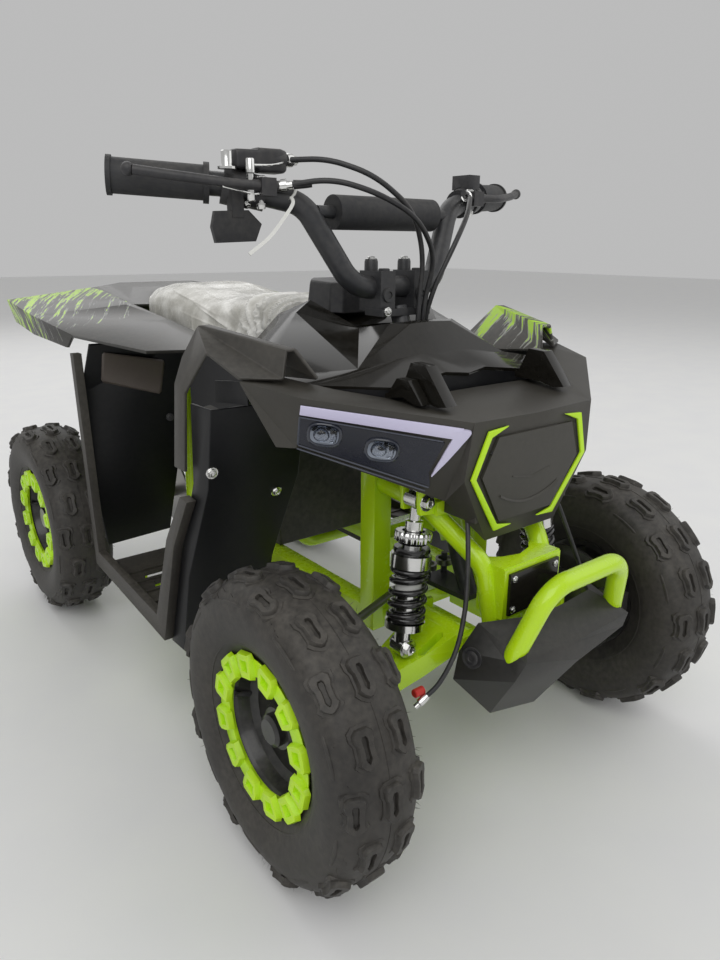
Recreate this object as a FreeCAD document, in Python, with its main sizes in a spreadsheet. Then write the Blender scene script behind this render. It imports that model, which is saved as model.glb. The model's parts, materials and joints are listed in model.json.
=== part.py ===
import FreeCAD, Part
import Sketcher
import math
import os

os.makedirs("parts", exist_ok=True)
doc = FreeCAD.newDocument("quad_bike")
V = FreeCAD.Vector

sheet = doc.addObject("Spreadsheet::Sheet", "Sizes")


class Size:
    """A number together with the spreadsheet expression it comes from."""

    def __init__(self, value, text):
        self.value = value
        self.text = text

    def _join(self, other, sign, turned=False):
        o = other if isinstance(other, Size) else Size(float(other), repr(float(other)))
        a, b = (o, self) if turned else (self, o)
        value = {"+": a.value + b.value, "-": a.value - b.value,
                 "*": a.value * b.value, "/": a.value / b.value if b.value else 0.0}[sign]
        return Size(value, "(%s %s %s)" % (a.text, sign, b.text))

    def __add__(self, o):
        return self._join(o, "+")

    def __radd__(self, o):
        return self._join(o, "+", True)

    def __sub__(self, o):
        return self._join(o, "-")

    def __rsub__(self, o):
        return self._join(o, "-", True)

    def __mul__(self, o):
        return self._join(o, "*")

    def __rmul__(self, o):
        return self._join(o, "*", True)

    def __truediv__(self, o):
        return self._join(o, "/")

    def __neg__(self):
        return Size(-self.value, "(0 - %s)" % self.text)


row = 0


def size(name, value):
    """Write one driving dimension in the sheet and return it."""
    global row
    row += 1
    sheet.set("A%d" % row, name)
    sheet.set("B%d" % row, str(value))
    sheet.setAlias("B%d" % row, name)
    return Size(float(value), "Sizes.%s" % name)


def num(s):
    return s.value if isinstance(s, Size) else float(s)


def text(s):
    return s.text if isinstance(s, Size) else repr(float(s))


wheelbase = size("wheelbase", 756)
track = size("track", 517)
tyre_radius = size("tyre_radius", 165)
tyre_width = size("tyre_width", 92)
lug_height = size("lug_height", 6.5)
lug_length = size("lug_length", 36)
lug_across = size("lug_across", 20)
bead_radius = size("bead_radius", 76)
ring_radius = size("ring_radius", 88)
ring_reach = size("ring_reach", 40.5)
rim_half = size("rim_half", 30)
bead_gap = 0.3
disc_out = size("disc_out", 64.5)
spindle_radius = size("spindle_radius", 8)
kingpin_gap = size("kingpin_gap", 93.5)
axle_radius = size("axle_radius", 10)
rail_size = size("rail_size", 25)
tube_radius = size("tube_radius", 11)
hoop_radius = size("hoop_radius", 10.5)
steer_arm = size("steer_arm", 46)
pitman_reach = size("pitman_reach", 61)
pitman_gap = size("pitman_gap", 14)
rod_clearance = size("rod_clearance", 4)
body_half = size("body_half", 270)
skin = size("skin", 4)
bar_radius = size("bar_radius", 12.7)
grip_radius = size("grip_radius", 18)
bar_half = size("bar_half", 297)
bar_height = size("bar_height", 695)
seat_height = size("seat_height", 560)
disc_radius = size("disc_radius", 76)
sprocket_radius = size("sprocket_radius", 60)
damper_radius = size("damper_radius", 11)
spring_radius = size("spring_radius", 21)
spring_turns = size("spring_turns", 7)
lug_count = size("lug_count", 9)
knob_turn = 6
tyre_facets = 27
block_count = size("block_count", 12)
doc.recompute()

front_axle = -wheelbase / 2
rear_axle = wheelbase / 2
hub = tyre_radius
half = track / 2
wall = half - kingpin_gap


def fy(d):
    """Length position given from the front axle."""
    return front_axle + d


def ry(d):
    """Length position given from the rear axle."""
    return rear_axle + d


def hz(d):
    """Height given from the axles' height."""
    return hub + d


def bx(d):
    """Width position given from the body's outer edge."""
    return body_half + d

# Ways of making a piece
nodes = {}
AXES = {"XY": ("XY_Plane", (0, 1)), "XZ": ("XZ_Plane", (0, 2)), "YZ": ("YZ_Plane", (1, 2))}


def keep(label, obj):
    """Make an object one of the finished sub-parts."""
    obj.Label = label
    nodes[label] = obj
    return obj


def place(obj, at=(0, 0, 0), axis=(0, 0, 1), angle=0):
    """Position bound to the sheet, with a fixed turn."""
    obj.Placement = FreeCAD.Placement(V(*[num(c) for c in at]), FreeCAD.Rotation(V(*axis), num(angle)))
    for k, c in zip("xyz", at):
        if isinstance(c, Size):
            obj.setExpression("Placement.Base.%s" % k, c.text)
    return obj


def sketch_on(body, plane, loops, circles=(), offset=0):
    """Closed outlines and circles on one of the body's origin planes, each
    corner tied to the sheet."""
    sk = doc.addObject("Sketcher::SketchObject", "Outline")
    body.addObject(sk)
    base = [o for o in body.Origin.OriginFeatures if o.Role == AXES[plane][0]][0]
    sk.AttachmentSupport = [(base, "")]
    sk.MapMode = "FlatFace"
    if isinstance(offset, Size):
        sk.setExpression("AttachmentOffset.Base.z", offset.text)
    else:
        sk.AttachmentOffset = FreeCAD.Placement(V(0, 0, offset), FreeCAD.Rotation())
    first = 0
    for points in loops:
        n = len(points)
        for i in range(n):
            a, b = points[i], points[(i + 1) % n]
            sk.addGeometry(Part.LineSegment(V(num(a[0]), num(a[1]), 0), V(num(b[0]), num(b[1]), 0)), False)
        for i in range(n):
            sk.addConstraint(Sketcher.Constraint("Coincident", first + i, 2, first + (i + 1) % n, 1))
        for i, (x, y) in enumerate(points):
            for kind, c in (("DistanceX", x), ("DistanceY", y)):
                k = sk.addConstraint(Sketcher.Constraint(kind, -1, 1, first + i, 1, num(c)))
                if isinstance(c, Size):
                    sk.setExpression("Constraints[%d]" % k, c.text)
        first += n
    for x, y, r in circles:
        sk.addGeometry(Part.Circle(V(num(x), num(y), 0), V(0, 0, 1), num(r)), False)
        for kind, c in (("DistanceX", x), ("DistanceY", y)):
            k = sk.addConstraint(Sketcher.Constraint(kind, -1, 1, first, 3, num(c)))
            if isinstance(c, Size):
                sk.setExpression("Constraints[%d]" % k, c.text)
        k = sk.addConstraint(Sketcher.Constraint("Radius", first, num(r)))
        if isinstance(r, Size):
            sk.setExpression("Constraints[%d]" % k, r.text)
        first += 1
    return sk


def plate(plane, loops, length, offset=0, circles=(), both=True, at=(0, 0, 0), axis=(0, 0, 1), angle=0):
    """A flat piece: outlines padded to a length, about its plane or from it."""
    body = doc.addObject("PartDesign::Body", "Plate")
    sk = sketch_on(body, plane, loops, circles, offset)
    pad = doc.addObject("PartDesign::Pad", "Pad")
    body.addObject(pad)
    pad.Profile = sk
    pad.Length = num(length)
    if isinstance(length, Size):
        pad.setExpression("Length", length.text)
    if both:
        pad.SideType = "Symmetric"
    sk.Visibility = False
    return place(body, at, axis, angle)


def turned(profile, at=(0, 0, 0), axis=(0, 0, 1), angle=0):
    """A turned piece: profile of (along the axle, radius), axle along X."""
    body = doc.addObject("PartDesign::Body", "Turned")
    sk = sketch_on(body, "XY", [profile])
    rev = doc.addObject("PartDesign::Revolution", "Turn")
    body.addObject(rev)
    rev.Profile = sk
    rev.ReferenceAxis = (sk, ["H_Axis"])
    rev.Angle = 360.0
    return place(body, at, axis, angle)


def box(x0, x1, y0, y1, z0, z1):
    """A block from its six faces' positions."""
    b = doc.addObject("Part::Box", "Block")
    for name, lo, hi, k in (("Length", x0, x1, "x"), ("Width", y0, y1, "y"), ("Height", z0, z1, "z")):
        if isinstance(lo, Size) or isinstance(hi, Size):
            span = hi - lo
            b.setExpression(name, text(span))
            b.setExpression("Placement.Base.%s" % k, text(lo))
            setattr(b, name, num(span))
        else:
            setattr(b, name, hi - lo)
    b.Placement.Base = V(num(x0), num(y0), num(z0))
    return b


def rod(a, b, radius):
    """A round bar between two points of the sheet."""
    p, q = V(*[num(c) for c in a]), V(*[num(c) for c in b])
    c = doc.addObject("Part::Cylinder", "Bar")
    c.Radius = num(radius)
    if isinstance(radius, Size):
        c.setExpression("Radius", radius.text)
    c.Height = (q - p).Length
    c.Placement = FreeCAD.Placement(p, FreeCAD.Rotation(V(0, 0, 1), q - p))
    return c


def square_bar(a, b, width, depth, up=(0, 0, 1)):
    """A square tube's outside between two points."""
    p, q = V(*[num(c) for c in a]), V(*[num(c) for c in b])
    along = (q - p).normalize()
    side = along.cross(V(*up)).normalize()
    top = side.cross(along)
    w, d = num(width) / 2, num(depth) / 2
    corners = [p + side * i * w + top * j * d for i, j in ((-1, -1), (1, -1), (1, 1), (-1, 1))]
    face = Part.Face(Part.makePolygon(corners + corners[:1]))
    f = doc.addObject("Part::Feature", "SquareBar")
    f.Shape = face.extrude(q - p)
    return f


def route(points, bends):
    """Straight runs joined by tangent arcs."""
    pts = [V(*[num(c) for c in p]) for p in points]
    edges = []
    start = pts[0]
    for i in range(1, len(pts) - 1):
        a, b = (pts[i - 1] - pts[i]), (pts[i + 1] - pts[i])
        la, lb = a.Length, b.Length
        a.normalize()
        b.normalize()
        half_turn = (math.pi - a.getAngle(b)) / 2
        most = 0.45 * min(la, lb) / math.tan(half_turn)
        r = min(num(bends), most) if bends else most
        t = r * math.tan(half_turn)
        p0, p1 = pts[i] + a * t, pts[i] + b * t
        mid_dir = (a + b).normalize()
        centre = pts[i] + mid_dir * (r / math.cos(half_turn))
        mid = centre - mid_dir * r
        edges.append(Part.LineSegment(start, p0).toShape())
        edges.append(Part.Arc(p0, mid, p1).toShape())
        start = p1
    edges.append(Part.LineSegment(start, pts[-1]).toShape())
    return Part.Wire(edges)


def bent(points, radius, bends=None):
    """A round tube's outside, carried along straight runs and arcs."""
    path = route(points, bends)
    first = path.Edges[0]
    ring = Part.Wire(Part.makeCircle(num(radius), first.valueAt(first.FirstParameter), first.tangentAt(first.FirstParameter)))
    f = doc.addObject("Part::Feature", "BentTube")
    f.Shape = path.makePipeShell([ring], True, False)
    return f


def folded(points, faces, thick, mirror=False, flip=False):
    """A folded panel: flat facets named by their corners, thickened along
    the corners' mean normals, with closed edges."""
    places, order = {}, []

    def corner(p):
        key = tuple(round(num(c), 3) for c in p)
        if key not in places:
            places[key] = len(order)
            order.append(V(*key))
        return places[key]

    tris = []
    for face in faces:
        for side in ((1, -1) if mirror else (1,)):
            ids = [corner((num(points[k][0]) * side, points[k][1], points[k][2])) for k in face]
            if side < 0:
                ids.reverse()
            for i in range(1, len(ids) - 1):
                t = (ids[0], ids[i], ids[i + 1])
                if len(set(t)) == 3:
                    tris.append(t)
    if flip:
        tris = [(a, c, b) for a, b, c in tris]
    normals = [V(0, 0, 0) for _ in order]
    for a, b, c in tris:
        n = (order[b] - order[a]).cross(order[c] - order[a])
        if n.Length:
            n.normalize()
        for k, (p, q) in ((a, (b, c)), (b, (c, a)), (c, (a, b))):
            w = (order[p] - order[k]).getAngle(order[q] - order[k])
            normals[k] = normals[k] + n * w
    back = []
    for k, n in enumerate(normals):
        n.normalize()
        back.append(order[k] - n * num(thick))
    edges = {}
    for t in tris:
        for i in range(3):
            edges[(t[i], t[(i + 1) % 3])] = True
    polys = [[order[i] for i in t] for t in tris]
    polys += [[back[i] for i in reversed(t)] for t in tris]
    for a, b in edges:
        if (b, a) not in edges:
            polys.append([order[b], order[a], back[a]])
            polys.append([order[b], back[a], back[b]])
    shapes = [Part.Face(Part.makePolygon(p + p[:1])) for p in polys]
    solid = Part.Solid(Part.Shell(shapes))
    if solid.Volume < 0:
        solid.reverse()
    f = doc.addObject("Part::Feature", "Folded")
    f.Shape = solid.removeSplitter()
    return f


def fuse(*objs):
    if len(objs) == 1:
        return objs[0]
    f = doc.addObject("Part::MultiFuse", "Fused")
    f.Shapes = list(objs)
    return f


def welded(objs):
    """Pieces joined one after the other."""
    whole = objs[0]
    for o in objs[1:]:
        f = doc.addObject("Part::Fuse", "Weld")
        f.Base = whole
        f.Tool = o
        whole = f
    return whole


def cut(base, tool):
    c = doc.addObject("Part::Cut", "CutOut")
    c.Base = base
    c.Tool = tool
    return c


def group(*objs):
    c = doc.addObject("Part::Compound", "Pair")
    c.Links = list(objs)
    return c


def stud(panel, axis, a, b, start, wide=12):
    """A block from a flat seat to the near side of a panel, along one axis;
    a and b are the other two coordinates."""
    k = "xyz".index(axis)
    others = [i for i in range(3) if i != k]
    p, q = [0.0] * 3, [0.0] * 3
    p[others[0]] = q[others[0]] = num(a)
    p[others[1]] = q[others[1]] = num(b)
    p[k], q[k] = -2000.0, 2000.0
    hits = panel.Shape.common(Part.makeLine(V(*p), V(*q)))
    spots = sorted((v.Point[k] for v in hits.Vertexes), key=lambda c: abs(c - num(start)))
    near = spots[0] + (1.0 if spots[0] > num(start) else -1.0) * num(skin) * 0.5
    lo = [num(a) - wide / 2, num(b) - wide / 2]
    hi = [num(a) + wide / 2, num(b) + wide / 2]
    lo.insert(k, min(near, num(start)))
    hi.insert(k, max(near, num(start)))
    f = doc.addObject("Part::Feature", "Stud")
    f.Shape = Part.makeBox(hi[0] - lo[0], hi[1] - lo[1], hi[2] - lo[2], V(*lo))
    return f


def sided(maker):
    """The right and left copies of a piece as one sub-part."""
    return group(maker(-1), maker(1))


# Wheels: tyres with their knobs, rims and the coloured rings on them


def faceted_ring(section, count, start):
    """A closed ring of flat facets about the X axle; its section is a loop
    of (x, radius) points and start is the first meridian's turn."""
    rows = []
    for i in range(count):
        a = start + 2 * math.pi * i / count
        rows.append([V(x, -r * math.sin(a), r * math.cos(a)) for x, r in section])
    faces = []
    for i in range(count):
        here, there = rows[i], rows[(i + 1) % count]
        for k in range(len(section)):
            n = (k + 1) % len(section)
            faces.append(Part.Face(Part.makePolygon([here[k], there[k], there[n], here[n], here[k]])))
    solid = Part.Solid(Part.Shell(faces))
    if solid.Volume < 0:
        solid.reverse()
    return solid


def knob(across, along, low, top, taper, tilt, x):
    """A tapered block standing on +Z: half sizes at its foot, the heights of
    its foot and top, and its lean towards the side it is moved to."""
    rings = []
    for height, k in ((low, 1.0), (top, taper)):
        corners = [V(i * across * k, j * along * k, height) for i, j in ((-1, -1), (1, -1), (1, 1), (-1, 1))]
        rings.append(Part.makePolygon(corners + corners[:1]))
    block = Part.makeLoft(rings, True, True)
    block.rotate(V(0, 0, top), V(0, 1, 0), tilt)
    block.translate(V(x, 0, 0))
    return block


def tyre_form():
    """Carcass of flat facets with five rows of knobs: one on the centre
    line, a pair half a pitch later and one on each shoulder."""
    half_width, outside = num(tyre_width) / 2, num(tyre_radius)
    base = outside - num(lug_height)
    foot = (num(bead_radius) + bead_gap) / math.cos(math.pi / tyre_facets)
    outer = [(0.26 * half_width, base), (0.91 * half_width, base - 14), (half_width, base - 37), (num(rim_half) - 1.0, foot)]
    section = outer + [(-x, r) for x, r in reversed(outer)]
    first = math.radians(knob_turn)
    count = int(num(lug_count))
    pitch = 360.0 / count
    carcass = faceted_ring(section, tyre_facets, first + math.pi / tyre_facets)
    long = num(lug_length) / 2
    rows = [(0.0, 0.0, 0.0, outside), (0.40, 0.5, 4.0, outside - 0.6), (-0.40, 0.5, -4.0, outside - 0.6),
            (0.76, 0.0, 26.0, outside - 2.4), (-0.76, 0.0, -26.0, outside - 2.4)]
    blocks = []
    for share, later, tilt, tip in rows:
        top = math.sqrt(tip * tip - long * long) - 0.1 * abs(tilt)
        block = knob(num(lug_across) / 2 / 0.86, long / 0.86, top - 16, top, 0.86, tilt, share * half_width)
        for i in range(count):
            turned_block = block.copy()
            turned_block.rotate(V(0, 0, 0), V(1, 0, 0), knob_turn + pitch * (i + later))
            blocks.append(turned_block)
    return carcass.fuse(blocks)


def tyre(spot):
    f = doc.addObject("Part::Feature", "Tyre")
    f.Shape = tyre_shape.copy()
    return place(f, spot)


def rim(side, front):
    """Barrel, wheel disc and hub in one; a front wheel's hub has a bore and
    carries the brake disc on its inner end."""
    s = side
    bore = spindle_radius + 0.3 if front else axle_radius
    inner = -s * disc_out if front else -s * 48
    edge = rim_half * s
    b = bead_radius
    profile = [(inner, bore), (s * 17, bore), (s * 17, 22), (s * 6, 30), (s * 6, b - 22), (s * 12, b - 14),
               (edge - s * 6, b - 10), (edge, b - 7), (edge, b), (-edge, b), (-edge, b - 8), (-edge + s * 6, b - 11),
               (s * 0, b - 18), (s * 0, 30), (inner, 26)]
    pieces = [turned(profile)]
    if front:
        pieces.append(turned([(s * 17, 0), (s * 27, 0), (s * 27, 13), (s * 24, 17), (s * 17, 17)]))
        pieces.append(turned([(inner, 20), (inner + s * 4, 20), (inner + s * 4, disc_radius), (inner, disc_radius)]))
    return fuse(*pieces)


def bead_ring(side):
    """Coloured ring bolted on the rim: a flat ring with raised blocks that
    overhang both of its edges, each with a pocket in its face."""
    s = side
    seat_x, reach, count = rim_half + bead_gap, num(ring_reach), int(num(block_count))
    mid = num(ring_radius) - 14.5
    base = turned([(s * seat_x, bead_radius - 12), (s * (seat_x + 4.7), bead_radius - 12),
                   (s * (seat_x + 4.7), ring_radius - 5), (s * seat_x, ring_radius - 9)])
    shoulder = [(-14.5, 9.5), (-2.5, 13.2), (8.5, 14.2), (13.5, 10.5)]
    outline = [(r, -t) for r, t in shoulder] + [(r, t) for r, t in reversed(shoulder)]
    window = [(-5, -5), (5, -6.5), (5, 6.5), (-5, 5)]
    blocks, pockets = [], []
    for i in range(count):
        turn = 360.0 * (i + 0.5) / count
        for made, shape, near, far, draw in ((blocks, outline, num(seat_x) + 4.5, reach, 0.88),
                                             (pockets, window, reach - 4.5, reach + 0.5, 1.15)):
            rings = []
            for x, k in ((near, 1.0), (far, draw)):
                corners = [V(s * x, mid + r * k, t * k) for r, t in shape]
                rings.append(Part.makePolygon(corners + corners[:1]))
            piece = Part.makeLoft(rings, True, True)
            piece.rotate(V(0, 0, 0), V(1, 0, 0), turn)
            made.append(piece)
    raised, hollow = [doc.addObject("Part::Feature", name) for name in ("Blocks", "Pockets")]
    raised.Shape = Part.Compound(blocks)
    hollow.Shape = Part.Compound(pockets)
    return cut(fuse(base, raised), hollow)


tyre_shape = tyre_form()
for side, name in ((-1, "r"), (1, "l")):
    spot = (half * side, front_axle, hub)
    keep("tyre_f" + name, tyre(spot))
    keep("rim_f" + name, place(rim(side, True), spot))
    keep("bead_ring_f" + name, place(bead_ring(side), spot))
keep("rear_tyres", sided(lambda s: tyre((half * s, rear_axle, hub))))
keep("rear_rims", sided(lambda s: place(rim(s, False), (half * s, rear_axle, hub))))
keep("rear_bead_rings", sided(lambda s: place(bead_ring(s), (half * s, rear_axle, hub))))

# Rear axle with its sprocket and brake disc
shaft = turned([(-half - 27, 0), (half + 27, 0), (half + 27, axle_radius), (-half - 27, axle_radius)])
sprocket = turned([(34, axle_radius), (40, axle_radius), (40, sprocket_radius), (34, sprocket_radius)])
rear_disc = turned([(-38, axle_radius), (-34, axle_radius), (-34, sprocket_radius + 4), (-38, sprocket_radius + 4)])
nuts = [turned([(s * (half + 17), 0), (s * (half + 27), 0), (s * (half + 27), 17), (s * (half + 17), 17)]) for s in (-1, 1)]
keep("rear_axle", place(fuse(shaft, sprocket, rear_disc, *nuts), (0, rear_axle, hub)))

# Front suspension: knuckles, arms and dampers
pin_y = front_axle
disc_x = half - disc_out


def sided_box(s, x0, x1, y0, y1, z0, z1):
    """A block whose width positions are given outwards from the middle."""
    lo, hi = (x0, x1) if s > 0 else (-x1, -x0)
    return box(lo, hi, y0, y1, z0, z1)


def knuckle(s):
    """Yoke above and below the arm's sleeve, spindle, steering arm, caliper."""
    x = wall * s
    parts = [rod((x, pin_y, hub - 46), (x, pin_y, hub + 46), 8)]
    for x0, z0, z1 in ((-14, 34, 42), (-14, -42, -34), (19, -42, 42)):
        parts.append(sided_box(s, wall + x0, wall + 27, pin_y - 14, pin_y + 14, hub + z0, hub + z1))
    parts.append(rod((x + 22 * s, pin_y, hub), (half * s + 15 * s, pin_y, hub), spindle_radius))
    arm_end = pin_y + steer_arm
    parts.append(plate("XY", [[(x - 14, pin_y + 8), (x + 14, pin_y + 8), (x + 9, arm_end + 9), (x - 9, arm_end + 9)]],
                       8, hub + 38))
    parts.append(rod((x, arm_end, hub + 34), (x, arm_end, hub + 60), 5))
    block = sided_box(s, disc_x - 10, disc_x + 12, pin_y - 84, pin_y - 54, hub - 4, hub + 38)
    piston = rod(((disc_x - 16) * s, pin_y - 68, hub + 17), ((disc_x - 8) * s, pin_y - 68, hub + 17), 11)
    slot = sided_box(s, disc_x - 1.5, disc_x + 5.5, pin_y - disc_radius - 2, pin_y - 20, hub - 20, hub + 60)
    bracket = sided_box(s, wall + 19, wall + 24, pin_y - 80, pin_y + 10, hub + 2, hub + 30)
    parts += [cut(fuse(block, piston), slot), bracket]
    return fuse(*parts)


for side, name in ((-1, "r"), (1, "l")):
    keep("knuckle_" + name, knuckle(side))


def arm(s):
    """Sloping front arm: two bushes, a broad beam with slots, kingpin sleeve."""
    y0, y1 = pin_y + 28, pin_y - 47
    inner_z, outer_z = hub + 47, hub - 4
    beam = [(58 * s, inner_z - 12), (58 * s, inner_z + 12), (wall * s, outer_z + 14), (wall * s, outer_z - 14)]
    outline = [(60 * s, y0), (60 * s, y1), (108 * s, pin_y - 34), (wall * s, pin_y - 13), (wall * s, pin_y + 13),
               (108 * s, pin_y + 22)]
    slots = []
    for near, far, middle, wide in ((78, 106, 10, 7), (78, 106, -28, 5), (126, 142, -3, 5)):
        y = pin_y + middle
        slots.append([((near - 4) * s, y), (near * s, y - wide), (far * s, y - wide), ((far + 4) * s, y),
                      (far * s, y + wide), (near * s, y + wide)])
    common = doc.addObject("Part::Common", "Beam")
    common.Base = plate("XY", [outline] + slots, 160, hub)
    common.Tool = plate("XZ", [beam], 200, -pin_y)
    bush = rod((58 * s, y1 - 4.7, inner_z), (58 * s, y0 + 4.7, inner_z), 13)
    sleeve = rod((wall * s, pin_y, hub - 33), (wall * s, pin_y, hub + 33), 14)
    bore = rod((wall * s, pin_y, hub - 40), (wall * s, pin_y, hub + 40), 8.3)
    return cut(fuse(common, bush, sleeve), bore)


keep("front_arms", sided(arm))


def shock_ends(s):
    """The middles of a damper's upper and lower eyes."""
    top = V(95 * s, num(fy(-2)), num(hz(207)))
    low = V(119 * s, num(fy(-12)), num(hz(44)))
    return top, low


def along_shock(profile, s):
    """A turned piece set on the shock's own axis, from its lower eye up."""
    top, low = shock_ends(s)
    piece = turned(profile)
    piece.Placement = FreeCAD.Placement(low, FreeCAD.Rotation(V(1, 0, 0), top - low))
    return piece


def shock(s):
    """Eyes, bright rod, adjusting collar, body and lower spring seat."""
    top, low = shock_ends(s)
    length = (top - low).Length
    r = num(damper_radius)
    body = along_shock([(0, 0), (length, 0), (length, 6), (length - 44, 6), (length - 44, r), (length - 60, r),
                        (length - 60, 22), (length - 74, 22), (length - 74, 14), (30, 14), (30, 22), (22, 22),
                        (22, 10), (0, 10)], s)
    eyes = []
    for p in (top, low):
        e = doc.addObject("Part::Cylinder", "Eye")
        e.Radius = 11
        e.Height = 18
        e.Placement = FreeCAD.Placement(p - V(0, 9, 0), FreeCAD.Rotation(V(0, 0, 1), V(0, 1, 0)))
        eyes.append(e)
    return fuse(body, *eyes)


def spring(s):
    """The coil as a ribbed sleeve, one rib to a turn."""
    top, low = shock_ends(s)
    length = (top - low).Length
    turns = int(num(spring_turns))
    z0, z1 = 30.3, length - 74.3
    pitch = (z1 - z0) / turns
    r = num(spring_radius)
    outer = [(z0, r - 5)]
    for k in range(turns):
        outer += [(z0 + pitch * (k + 0.3), r), (z0 + pitch * (k + 0.6), r), (z0 + pitch * (k + 0.95), r - 5)]
    outer.append((z1, r - 5))
    return along_shock([(z0, 14.3)] + outer + [(z1, 14.3)], s)


keep("front_shocks", sided(shock))
keep("front_springs", sided(spring))

# Welded tube frame, in four sub-parts whose tube ends are coped on each other
core_parts, nose_parts, loop_parts, bars = [], [], [], []
seat_sides, seat_parts = {}, []
rail_x, half_rail = 85, rail_size / 2
loop_z, loop_x = hz(-58), bx(-40)
for s in (-1, 1):
    x = rail_x * s
    bars += [box(x - half_rail, x + half_rail, fy(78) - half_rail, fy(78) + half_rail, hz(20), hz(219)),
             square_bar((x, fy(70), hz(34)), (x, ry(-178), hz(34)), rail_size, rail_size)]
    core_parts += [square_bar((x, fy(78), hz(34)), (34 * s, fy(50), hz(34)), 20, 20),
                   square_bar((34 * s, fy(58), hz(34)), (34 * s, fy(-84), hz(34)), 20, 20)]
    for y in (fy(33), fy(-58)):
        core_parts.append(sided_box(s, 30, 72, y, y + 6, hz(28), hz(57)))
    core_parts.append(sided_box(s, 72.3, 86, ry(-204), ry(-178), hz(-4), hz(30)))
    # front diagonal with the damper's mount and the fascia's seat
    nose_parts.append(bent([(x, fy(78), hz(206)), (76 * s, fy(8), hz(196)), (47 * s, fy(-59), hz(137)),
                            (38 * s, fy(-78), hz(30))], tube_radius, 40))
    ear = [(70 * s, hz(190)), (104 * s, hz(194)), (106 * s, hz(220)), (84 * s, hz(222)), (66 * s, hz(208))]
    for d in (-15, 11):
        nose_parts.append(plate("XZ", [ear], 5, -fy(d)))
    nose_parts.append(sided_box(s, 58, 84, fy(-22), fy(-2), hz(190), hz(206)))
    # seat rail and rear upright
    seat_sides[s] = [bent([(x, fy(78), hz(206)), (72 * s, fy(150), hz(262)), (66 * s, ry(-120), hz(262)),
                           (60 * s, ry(60), hz(300))], tube_radius, 60),
                     rod((x, ry(-186), hz(34)), (66 * s, ry(-150), hz(262)), tube_radius),
                     sided_box(s, 66, 150, ry(-112), ry(-96), hz(254), hz(268))]
    # footrest loop with two legs under the tray
    loop_parts.append(bent([(x, fy(304), hz(34)), (x, fy(304), loop_z), (loop_x * s, fy(304), loop_z),
                            (loop_x * s, ry(-256), loop_z), (x, ry(-256), loop_z), (x, ry(-256), hz(34))], tube_radius, 34))
    for y in (fy(330), ry(-306)):
        loop_parts.append(sided_box(s, loop_x - 7, loop_x + 7, y, y + 20, loop_z, hz(-14.3)))
for y in (fy(78), ry(-190)):
    core_parts.append(box(-rail_x, rail_x, y - 10, y + 10, hz(24), hz(44)))
seat_parts.append(box(-70, 70, ry(-130), ry(-110), hz(252), hz(272)))
seat_parts.append(box(-72, 72, fy(262), fy(282), hz(252), hz(275)))

# Steering bearing tube and the cross pieces that carry it
steer_low, steer_top = (0, fy(6), hz(70)), (0, fy(154), hz(415))


def on_axis(t):
    """A point of the steering axis, as a part of its length."""
    return tuple(a + (b - a) * t for a, b in zip(steer_low, steer_top))


core_parts += [rod(on_axis(0.17), on_axis(0.5), 17), box(-80, 80, fy(38), fy(58), hz(190), hz(206)),
               box(-rail_x, rail_x, fy(68), fy(88), hz(196), hz(216)), box(-rail_x, rail_x, fy(70), fy(86), hz(132), hz(148)),
               box(-16, 16, fy(52), fy(80), hz(133), hz(147))]
main_frame = keep("main_frame", cut(fuse(*bars, *core_parts), rod(on_axis(-0.1), on_axis(0.9), 11.5)))

# Box between the front diagonals, with its cover
b_top, b_low, b_front = hz(140), hz(82), fy(-86)
nose_parts.append(plate("XY", [[(-46, b_front), (46, b_front), (46, fy(-48)), (34, fy(-52)), (22, fy(-62)), (0, fy(-68)),
                                (-22, fy(-62)), (-34, fy(-52)), (-46, fy(-48))]], 3, b_top))
for s in (-1, 1):
    nose_parts.append(sided_box(s, 43, 46, b_front, fy(-50), b_low, b_top))
nose_parts.append(plate("XZ", [[(-46, b_low), (46, b_low), (46, b_top), (-46, b_top)],
                               [(-36, b_low + 8), (36, b_low + 8), (36, b_top - 8), (-36, b_top - 8)]], 3, -b_front))
keep("box_panel", box(-40, 40, fy(-91), fy(-87.8), b_low + 5, b_top - 5))

# Bumper hoop and the pads and arms that hold it
reach = -(wheelbase / 2 + tyre_radius) + hoop_radius
hoop_path = [(82, reach + 27, hz(56)), (81, reach + 18, hz(80)), (58, reach, hz(150)), (-58, reach, hz(150)),
             (-81, reach + 18, hz(80)), (-82, reach + 27, hz(56))]
hoop_bend = 34
keep("front_bumper", bent(hoop_path, hoop_radius, hoop_bend))
nose = reach + 27 + hoop_radius
for s in (-1, 1):
    for x0, x1, y0, y1, z0, z1 in ((72, 86, 0.3, 9, 46, 64), (26, 85, 5, 13, 50, 62), (26, 42, 5, 49, 26, 60)):
        nose_parts.append(sided_box(s, x0, x1, nose + y0, nose + y1, hz(z0), hz(z1)))
nose_frame = keep("nose_frame", cut(fuse(*nose_parts), main_frame))

# Faceted guard under the hoop, with two shallow ribs on its face
G = {"a": (88, fy(-92), hz(96)), "b": (106, fy(-84), hz(66)), "c": (104, fy(-76), hz(28)), "d": (60, fy(-92), hz(-24)),
     "e": (0, fy(-104), hz(-28)), "f": (86, fy(-155), hz(78)), "g": (92, fy(-147), hz(56)), "h": (0, fy(-156), hz(52)),
     "i": (0, fy(-150), hz(70)), "j": (50, fy(-126), hz(106)), "k": (0, fy(-126), hz(102))}
guard = folded(G, [("k", "i", "f", "j"), ("j", "f", "a"), ("i", "h", "g", "f"), ("h", "e", "d", "g"),
                   ("a", "f", "g", "b"), ("b", "g", "d", "c")], skin, mirror=True)
keep("lower_guard", cut(guard, bent(hoop_path, hoop_radius + 0.3, hoop_bend)))

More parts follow.
